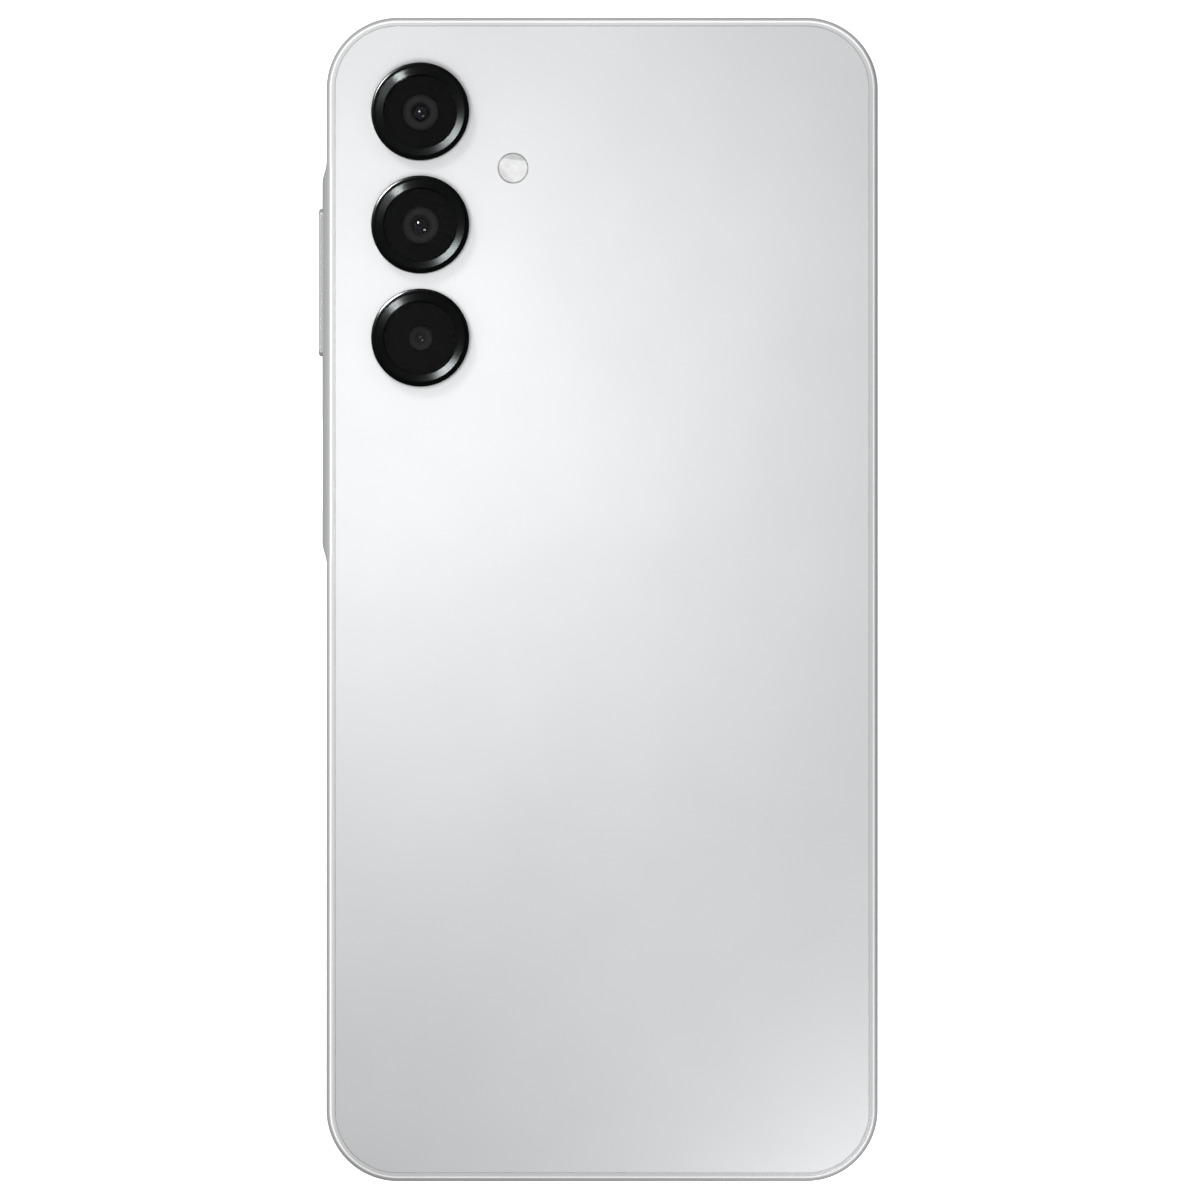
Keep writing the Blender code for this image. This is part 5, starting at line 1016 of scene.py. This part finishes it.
def flash():
    """The diffuser, with the fine rings of its lens underneath, and the light source."""
    low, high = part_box("flash_window")
    reach = FLASH_RADIUS - 0.15 * MM
    profile = [(0, low.z + PRISM_DEPTH)]
    for i in range(PRISM_COUNT):
        start, end = (i + 0.1) / PRISM_COUNT, (i + 1) / PRISM_COUNT
        profile += [(reach * start, low.z + PRISM_DEPTH), (reach * end, low.z + 0.06 * MM)]
    profile += [
        (FLASH_RADIUS - 0.1 * MM, low.z),
        (FLASH_RADIUS, low.z),
        (FLASH_RADIUS, high.z - 0.06 * MM),
        (FLASH_RADIUS - 0.06 * MM, high.z),
        (0, high.z),
    ]
    window = turned("flash_diffuser", profile, FLASH, LENS_STEPS)
    dress(window, "diffuser", "diffuser_plastic", "phone", "flash_window", crisp=TURNED_CRISP)
    paint_node("flash_led", "phosphor")


# ---- Keys and card tray ----


FLANGE_X = ISLAND_X + 1.45 * MM
FLANGE_BACK_X = ISLAND_X + 1.95 * MM
CAP_STEPS = 20
PLUNGER_SHIFT = 7.2 * MM
PLUNGER_RADIUS = 0.7 * MM
SENSOR_GAP = Vector((0.05, 0.1, 0.1)) * MM


def key_cap(name, y, cap, face_x, edge):
    foot = ISLAND_X + 1.6 * MM
    outline_at = stadium_shape(*cap, (y, KEY_Z), CAP_STEPS)
    return loft(name, rounded_loops(outline_at, foot, face_x, edge, 8, on_x))


def block(name, low, high, edge=BREAK):
    """A box between two corners, with its upright edges rounded."""
    centre = ((low[0] + high[0]) / 2, (low[1] + high[1]) / 2)
    outline = rounded(high[0] - low[0], high[1] - low[1], edge, 3, centre)
    return prism(name, outline, on_z, low[2], high[2])


def keys():
    low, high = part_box("volume_key")
    cap = key_cap("volume_cap", VOLUME_Y, VOLUME_CAP, low.x, 0.3 * MM)
    flange = block("volume_flange", (FLANGE_X, *low.yz), (FLANGE_BACK_X, *high.yz))
    rods = []
    for side in (1, -1):
        rod = circle((VOLUME_Y + side * PLUNGER_SHIFT, KEY_Z), PLUNGER_RADIUS, 24)
        rods.append(prism(f"rod_{side}", rod, on_x, FLANGE_BACK_X - 0.1 * MM, high.x))
    rocker = combined(cap, "UNION", flange, *rods)
    rocker.name = "volume_rocker"
    dress(rocker, "key", "key_silver", "volume_key", "volume_key")

    low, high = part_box("power_key")
    cap = key_cap("power_cap", POWER_Y, POWER_CAP, low.x, 0.16 * MM)
    flange = block("power_flange", (FLANGE_X, *low.yz), high)
    button = combined(cap, "UNION", flange)
    sensor_low, sensor_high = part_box("fingerprint_sensor")
    way_out = Vector((MM, SENSOR_GAP.y, SENSOR_GAP.z))
    cut(button, block("sensor_nest", sensor_low - SENSOR_GAP, sensor_high + way_out))
    button.name = "power_button"
    dress(button, "key", "key_silver", "power_key", "power_key")
    paint_node("fingerprint_sensor", "black_plastic")


TRAY_PLATE = Vector((0, 7.0, 0.35)) * MM  # half its width and thickness
TRAY_BAR = 1.0 * MM
CARD_WINDOWS = {"nano": (9.0 * MM, 12.4 * MM), "memory": (15.1 * MM, 11.2 * MM)}
PIN_TO_END = 1.3 * MM
PIN_RADIUS = 0.4 * MM


def card_tray():
    low, high = TRAY
    door_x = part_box("sim_tray_seal")[1].x + 0.1 * MM
    outline_at = stadium_shape(*TRAY_DOOR, TRAY_CENTRE, CAP_STEPS)
    door = loft("tray_door", rounded_loops(outline_at, door_x, high.x, 0.1 * MM, 5, on_x))
    start = (low.x, *(TRAY_MIDDLE - TRAY_PLATE).yz)
    end = (door_x + 0.2 * MM, *(TRAY_MIDDLE + TRAY_PLATE).yz)
    tray = combined(door, "UNION", block("tray_plate", start, end, 0.6 * MM))
    tools = []
    x = low.x + TRAY_BAR
    for name, (depth, width) in CARD_WINDOWS.items():
        window = rounded(depth, width, 0.5 * MM, 5, (x + depth / 2, TRAY_MIDDLE.y))
        tools.append(prism(f"{name}_window", window, on_z, 0, TRAY_MIDDLE.z + MM))
        x += depth + TRAY_BAR
    pin_y = TRAY_MIDDLE.y - TRAY_DOOR[0] / 2 + PIN_TO_END
    hole = circle((pin_y, TRAY_MIDDLE.z), PIN_RADIUS, HOLE_STEPS)
    tools.append(prism("pin_hole", hole, on_x, door_x - 0.1 * MM, high.x + MM))
    cut(tray, *tools)
    tray.name = "card_tray"
    dress(tray, "frame", "frame_silver", "sim_tray", "sim_tray")
    paint_node("sim_tray_seal", "rubber")


# ---- Bottom and top edges ----


PORT_WALL = 0.3 * MM
PORT_LIP = 0.12 * MM
BLADE = (6.7 * MM, 0.7 * MM)
CONTACT_COUNT = 12  # on each side of the blade
CONTACT_PITCH = 0.5 * MM
CONTACT_SIZE = Vector((0.26, 3.55, 0.02)) * MM
CONTACT_TO_TIP = 0.35 * MM


def port():
    low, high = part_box("usb_port_shell")
    outline_at = stadium_shape(PORT_SIZE.x, PORT_SIZE.z, PORT_CENTRE, PORT_STEPS)
    lip_z = low.y + PORT_LIP
    stack = [(0, high.y), (0, lip_z)]
    for angle in (0.5, 1.0, 1.57):
        inset, drop = PORT_LIP * (1 - math.cos(angle)), PORT_LIP * math.sin(angle)
        stack.append((inset, lip_z - drop))
    stack += [(PORT_WALL - BREAK, low.y), (PORT_WALL, low.y + 0.06 * MM), (PORT_WALL, high.y)]
    shell = loft("port_shell", [on_y(outline_at(i), y) for i, y in stack], cyclic=True)
    dress(shell, "steel", "steel", "phone", "usb_port_shell")

    low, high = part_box("usb_port_tongue")
    base_y = high.y - 0.8 * MM
    base = stadium(high.x - low.x, high.z - low.z, 16, PORT_CENTRE)
    floor = prism("tongue_base", base, on_y, base_y, high.y)

    def blade_at(inset):
        width, height = (side - 2 * inset for side in BLADE)
        return rounded(width, height, 0.1 * MM, 4, PORT_CENTRE)

    loops = rounded_loops(blade_at, base_y + 0.1 * MM, low.y, 0.12 * MM, 4, on_y)
    tongue = combined(floor, "UNION", loft("tongue_blade", loops))
    tongue.name = "port_tongue"
    dress(tongue, "black_plastic", "black_plastic", "phone", "usb_port_tongue")

    contacts = []
    for side in (1, -1):
        face = EDGE_Z + side * (BLADE[1] / 2 + 0.005 * MM)
        z = min(face, face - side * CONTACT_SIZE.z)
        for i in range(CONTACT_COUNT):
            x = PORT_MIDDLE.x + (i - (CONTACT_COUNT - 1) / 2) * CONTACT_PITCH
            start = Vector((x - CONTACT_SIZE.x / 2, low.y + CONTACT_TO_TIP, z))
            end = start + CONTACT_SIZE
            contacts.append(block(f"contact_{side}_{i}", start, end, 0.04 * MM))
    gold = joined("port_contacts", *contacts)
    dress(gold, "gold", "steel", "phone")


MESH_DEPTH = 0.9 * MM  # how far inside the face the acoustic meshes start
MESH_THICKNESS = 0.1 * MM
MESH_INSET = 0.02 * MM


def openings():
    """The acoustic meshes inside the speaker slots, the microphone holes and the earpiece slot."""
    wall_y = -HALF_LENGTH + MESH_DEPTH
    outlines = []
    for x in SPEAKER_XS:
        outlines.append((stadium_shape(*SPEAKER_SLOT, (x, EDGE_Z))(MESH_INSET), wall_y))
    for x, y in ((BOTTOM_MIC_X, wall_y), (TOP_MIC_X, -wall_y - MESH_THICKNESS)):
        outlines.append((circle((x, EDGE_Z), MIC_RADIUS - MESH_INSET, HOLE_STEPS), y))
    sheets = [
        prism(f"sheet_{i}", outline, on_y, y, y + MESH_THICKNESS)
        for i, (outline, y) in enumerate(outlines)
    ]
    grille = joined("acoustic_meshes", *sheets)
    dress(grille, "mesh", "ring_black", "phone")

    low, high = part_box("earpiece_mesh")
    outline = rounded(
        high.x - low.x, high.y - low.y, 0.08 * MM, 6, (0, (low.y + high.y) / 2)
    )
    ear = prism("earpiece_grille", outline, on_z, low.z, high.z)
    dress(ear, "mesh", "ring_black", "phone", "earpiece_mesh")


# ---- CAD pieces that stay as they are ----

KEPT = {
    "cast": ["chassis_plate"],
    "rubber": ["cover_gasket", "display_gasket"],
    "screen_border": ["display_panel"],
    "grey_plastic": ["front_camera", "earpiece_speaker", "speaker_lid", "speaker_diaphragm"],
    "black_plastic": ["upper_inner_cover", "lower_inner_cover", "speaker_case", "antenna_cable"],
    "board": ["main_board", "sub_board"],
    "flex": ["display_flex", "main_flex", "key_flex", "battery_lead"],
    "wrap": ["battery"],
    "copper": ["nfc_antenna"],
    "steel": [
        *["sim_socket", "processor_shield", "radio_shield", "speaker_driver", "key_bracket"],
        *["motor_case", "motor_base", "motor_rotor"],
        *["volume_up_dome", "volume_down_dome", "power_dome"],
        *[f"screw_{i}" for i in range(1, 7)],
    ],
}


def inner_pieces():
    for look, nodes in KEPT.items():
        for node in nodes:
            paint_node(node, look)


# ---- Floor, light and camera ----


FLOOR_SIDE = 3.0
FLOOR_CORNER = 0.5
FLOOR_HEIGHTS = (-2.0 * MM, -0.1 * MM)
FLOOR_GLOW = 0.75


def make_floor():
    """A light table: pale paper lit from below, which throws no light back on the phone."""
    corners = rounded(FLOOR_SIDE, FLOOR_SIDE, FLOOR_CORNER, 8)
    table = prism("studio_floor", corners, on_z, *FLOOR_HEIGHTS)
    paper = Paint("floor_paper", 0.9)
    fibre = paper.noise(400, detail=3)
    paper.colour(paper.ramp(fibre, (0.3, (0.9, 0.9, 0.9)), (0.7, (0.93, 0.93, 0.93))))
    paper.set("Emission Color", (1, 1, 1, 1))
    paper.set("Emission Strength", FLOOR_GLOW)
    table.data.materials.append(paper.material)
    table.visible_diffuse = False
    table.visible_glossy = False


SKY = (  # brightness against the sine of the height above the horizon
    (0.0, 0.3),
    (0.3, 0.35),
    (0.5, 0.65),
    (0.6, 1.25),
    (0.68, 1.25),
    (0.78, 0.6),
    (1.0, 0.54),
)
SKY_PEAK = 1.25
BRIGHT_SIDE = (-0.6, 0.8, 0.0)
SIDE_SPAN = 0.35
SIDE_CHANGE = 0.15


def make_world():
    """A studio tent: even overhead, a bright band lower down, dark at the floor's level."""
    world = bpy.data.worlds.new("studio")
    bpy.context.scene.world = world
    world.use_nodes = True
    sky = Nodes(world.node_tree)
    background = sky.tree.nodes["Background"]
    coords = sky.add("ShaderNodeTexCoord").outputs["Generated"]
    split = sky.add("ShaderNodeSeparateXYZ")
    sky.link(coords, split.inputs["Vector"])
    stops = [(height, level / SKY_PEAK) for height, level in SKY]
    sky.link(sky.ramp(split.outputs["Z"], *stops), background.inputs["Color"])
    low, high = SKY_PEAK * (1 - SIDE_CHANGE), SKY_PEAK * (1 + SIDE_CHANGE)
    strength = sky.passing(sky.dot(coords, BRIGHT_SIDE), -SIDE_SPAN, SIDE_SPAN, low, high)
    sky.link(strength, background.inputs["Strength"])


def area_light(name, place, target, width, power):
    data = bpy.data.lights.new(name, "AREA")
    data.shape = "DISK"
    data.size = width
    data.energy = power
    lamp = bpy.data.objects.new(name, data)
    bpy.context.scene.collection.objects.link(lamp)
    lamp.location = place
    lamp.rotation_mode = "QUATERNION"
    lamp.rotation_quaternion = (Vector(target) - Vector(place)).to_track_quat("-Z", "Y")
    lamp.visible_camera = False
    return lamp


NEAR_LAMPS = (  # name, place, what it points at, width and power
    ("key_lamp", Vector((-0.031, 0.030, REAR_Z + 0.103)), Vector((-0.031, 0.030, 0)), 0.06, 0.157),
    ("fill_lamp", Vector((0.058, -0.110, REAR_Z + 0.053)), Vector((0.058, -0.110, 0)), 0.04, 0.066),
    ("side_lamp", CAMERAS["main"] + Vector((-0.13, 0.19, 0.193)), CAMERAS["main"], 0.08, 0.34),
)
GLOSS_LAMPS = (  # name, azimuth in degrees, width, power and the looks that it lights
    ("ring_lamp_low", 131, 0.14, 42, ("rim", "bevel")),
    ("ring_lamp_high", -54, 0.1, 17, ("bevel",)),
    ("lens_lamp_high", 126, 0.1, 2.6, ("element",)),
    ("lens_lamp_low", -45, 0.1, 1.0, ("element",)),
)
LAMP_LEAN = math.radians(22)  # of the gloss lamps, from the vertical
LAMP_DISTANCE = 0.7


def make_lights():
    """Three soft lamps near the back shade it. The others light only the cameras' gloss."""
    for name, place, target, width, power in NEAR_LAMPS:
        lamp = area_light(name, place, target, width, power)
        lamp.visible_glossy = False
        lamp.visible_transmission = False
    target = CAMERAS["main"]
    for name, azimuth, width, power, looks in GLOSS_LAMPS:
        turn, out = math.radians(azimuth), math.sin(LAMP_LEAN)
        way = Vector((out * math.cos(turn), out * math.sin(turn), math.cos(LAMP_LEAN)))
        lamp = area_light(name, target + LAMP_DISTANCE * way, target, width, power)
        lamp.visible_diffuse = False
        lit = bpy.data.collections.new(f"lit_by_{name}")
        for look in looks:
            for piece in bpy.data.objects:
                if piece.type == "MESH" and LOOK[look].name in piece.data.materials:
                    lit.objects.link(piece)
        lamp.light_linking.receiver_collection = lit


LENS = 135.0
SENSOR = 36.0
VIEW_HEIGHT = 169.52 * MM
LOOK_AT = Vector((-0.3, -0.08, 7.1)) * MM


def make_camera():
    data = bpy.data.cameras.new("camera")
    data.lens = LENS
    data.sensor_width = SENSOR
    camera = bpy.data.objects.new("camera", data)
    bpy.context.scene.collection.objects.link(camera)
    camera.location = LOOK_AT + Vector((0, 0, VIEW_HEIGHT * LENS / SENSOR))
    data.clip_start, data.clip_end = 0.01, 10
    bpy.context.scene.camera = camera
    bpy.context.scene.view_settings.view_transform = "Standard"


side_frame()
rear_cover()
screen()
front_lens()
rear_cameras()
flash()
keys()
card_tray()
port()
openings()
inner_pieces()
make_floor()
make_world()
make_lights()
make_camera()
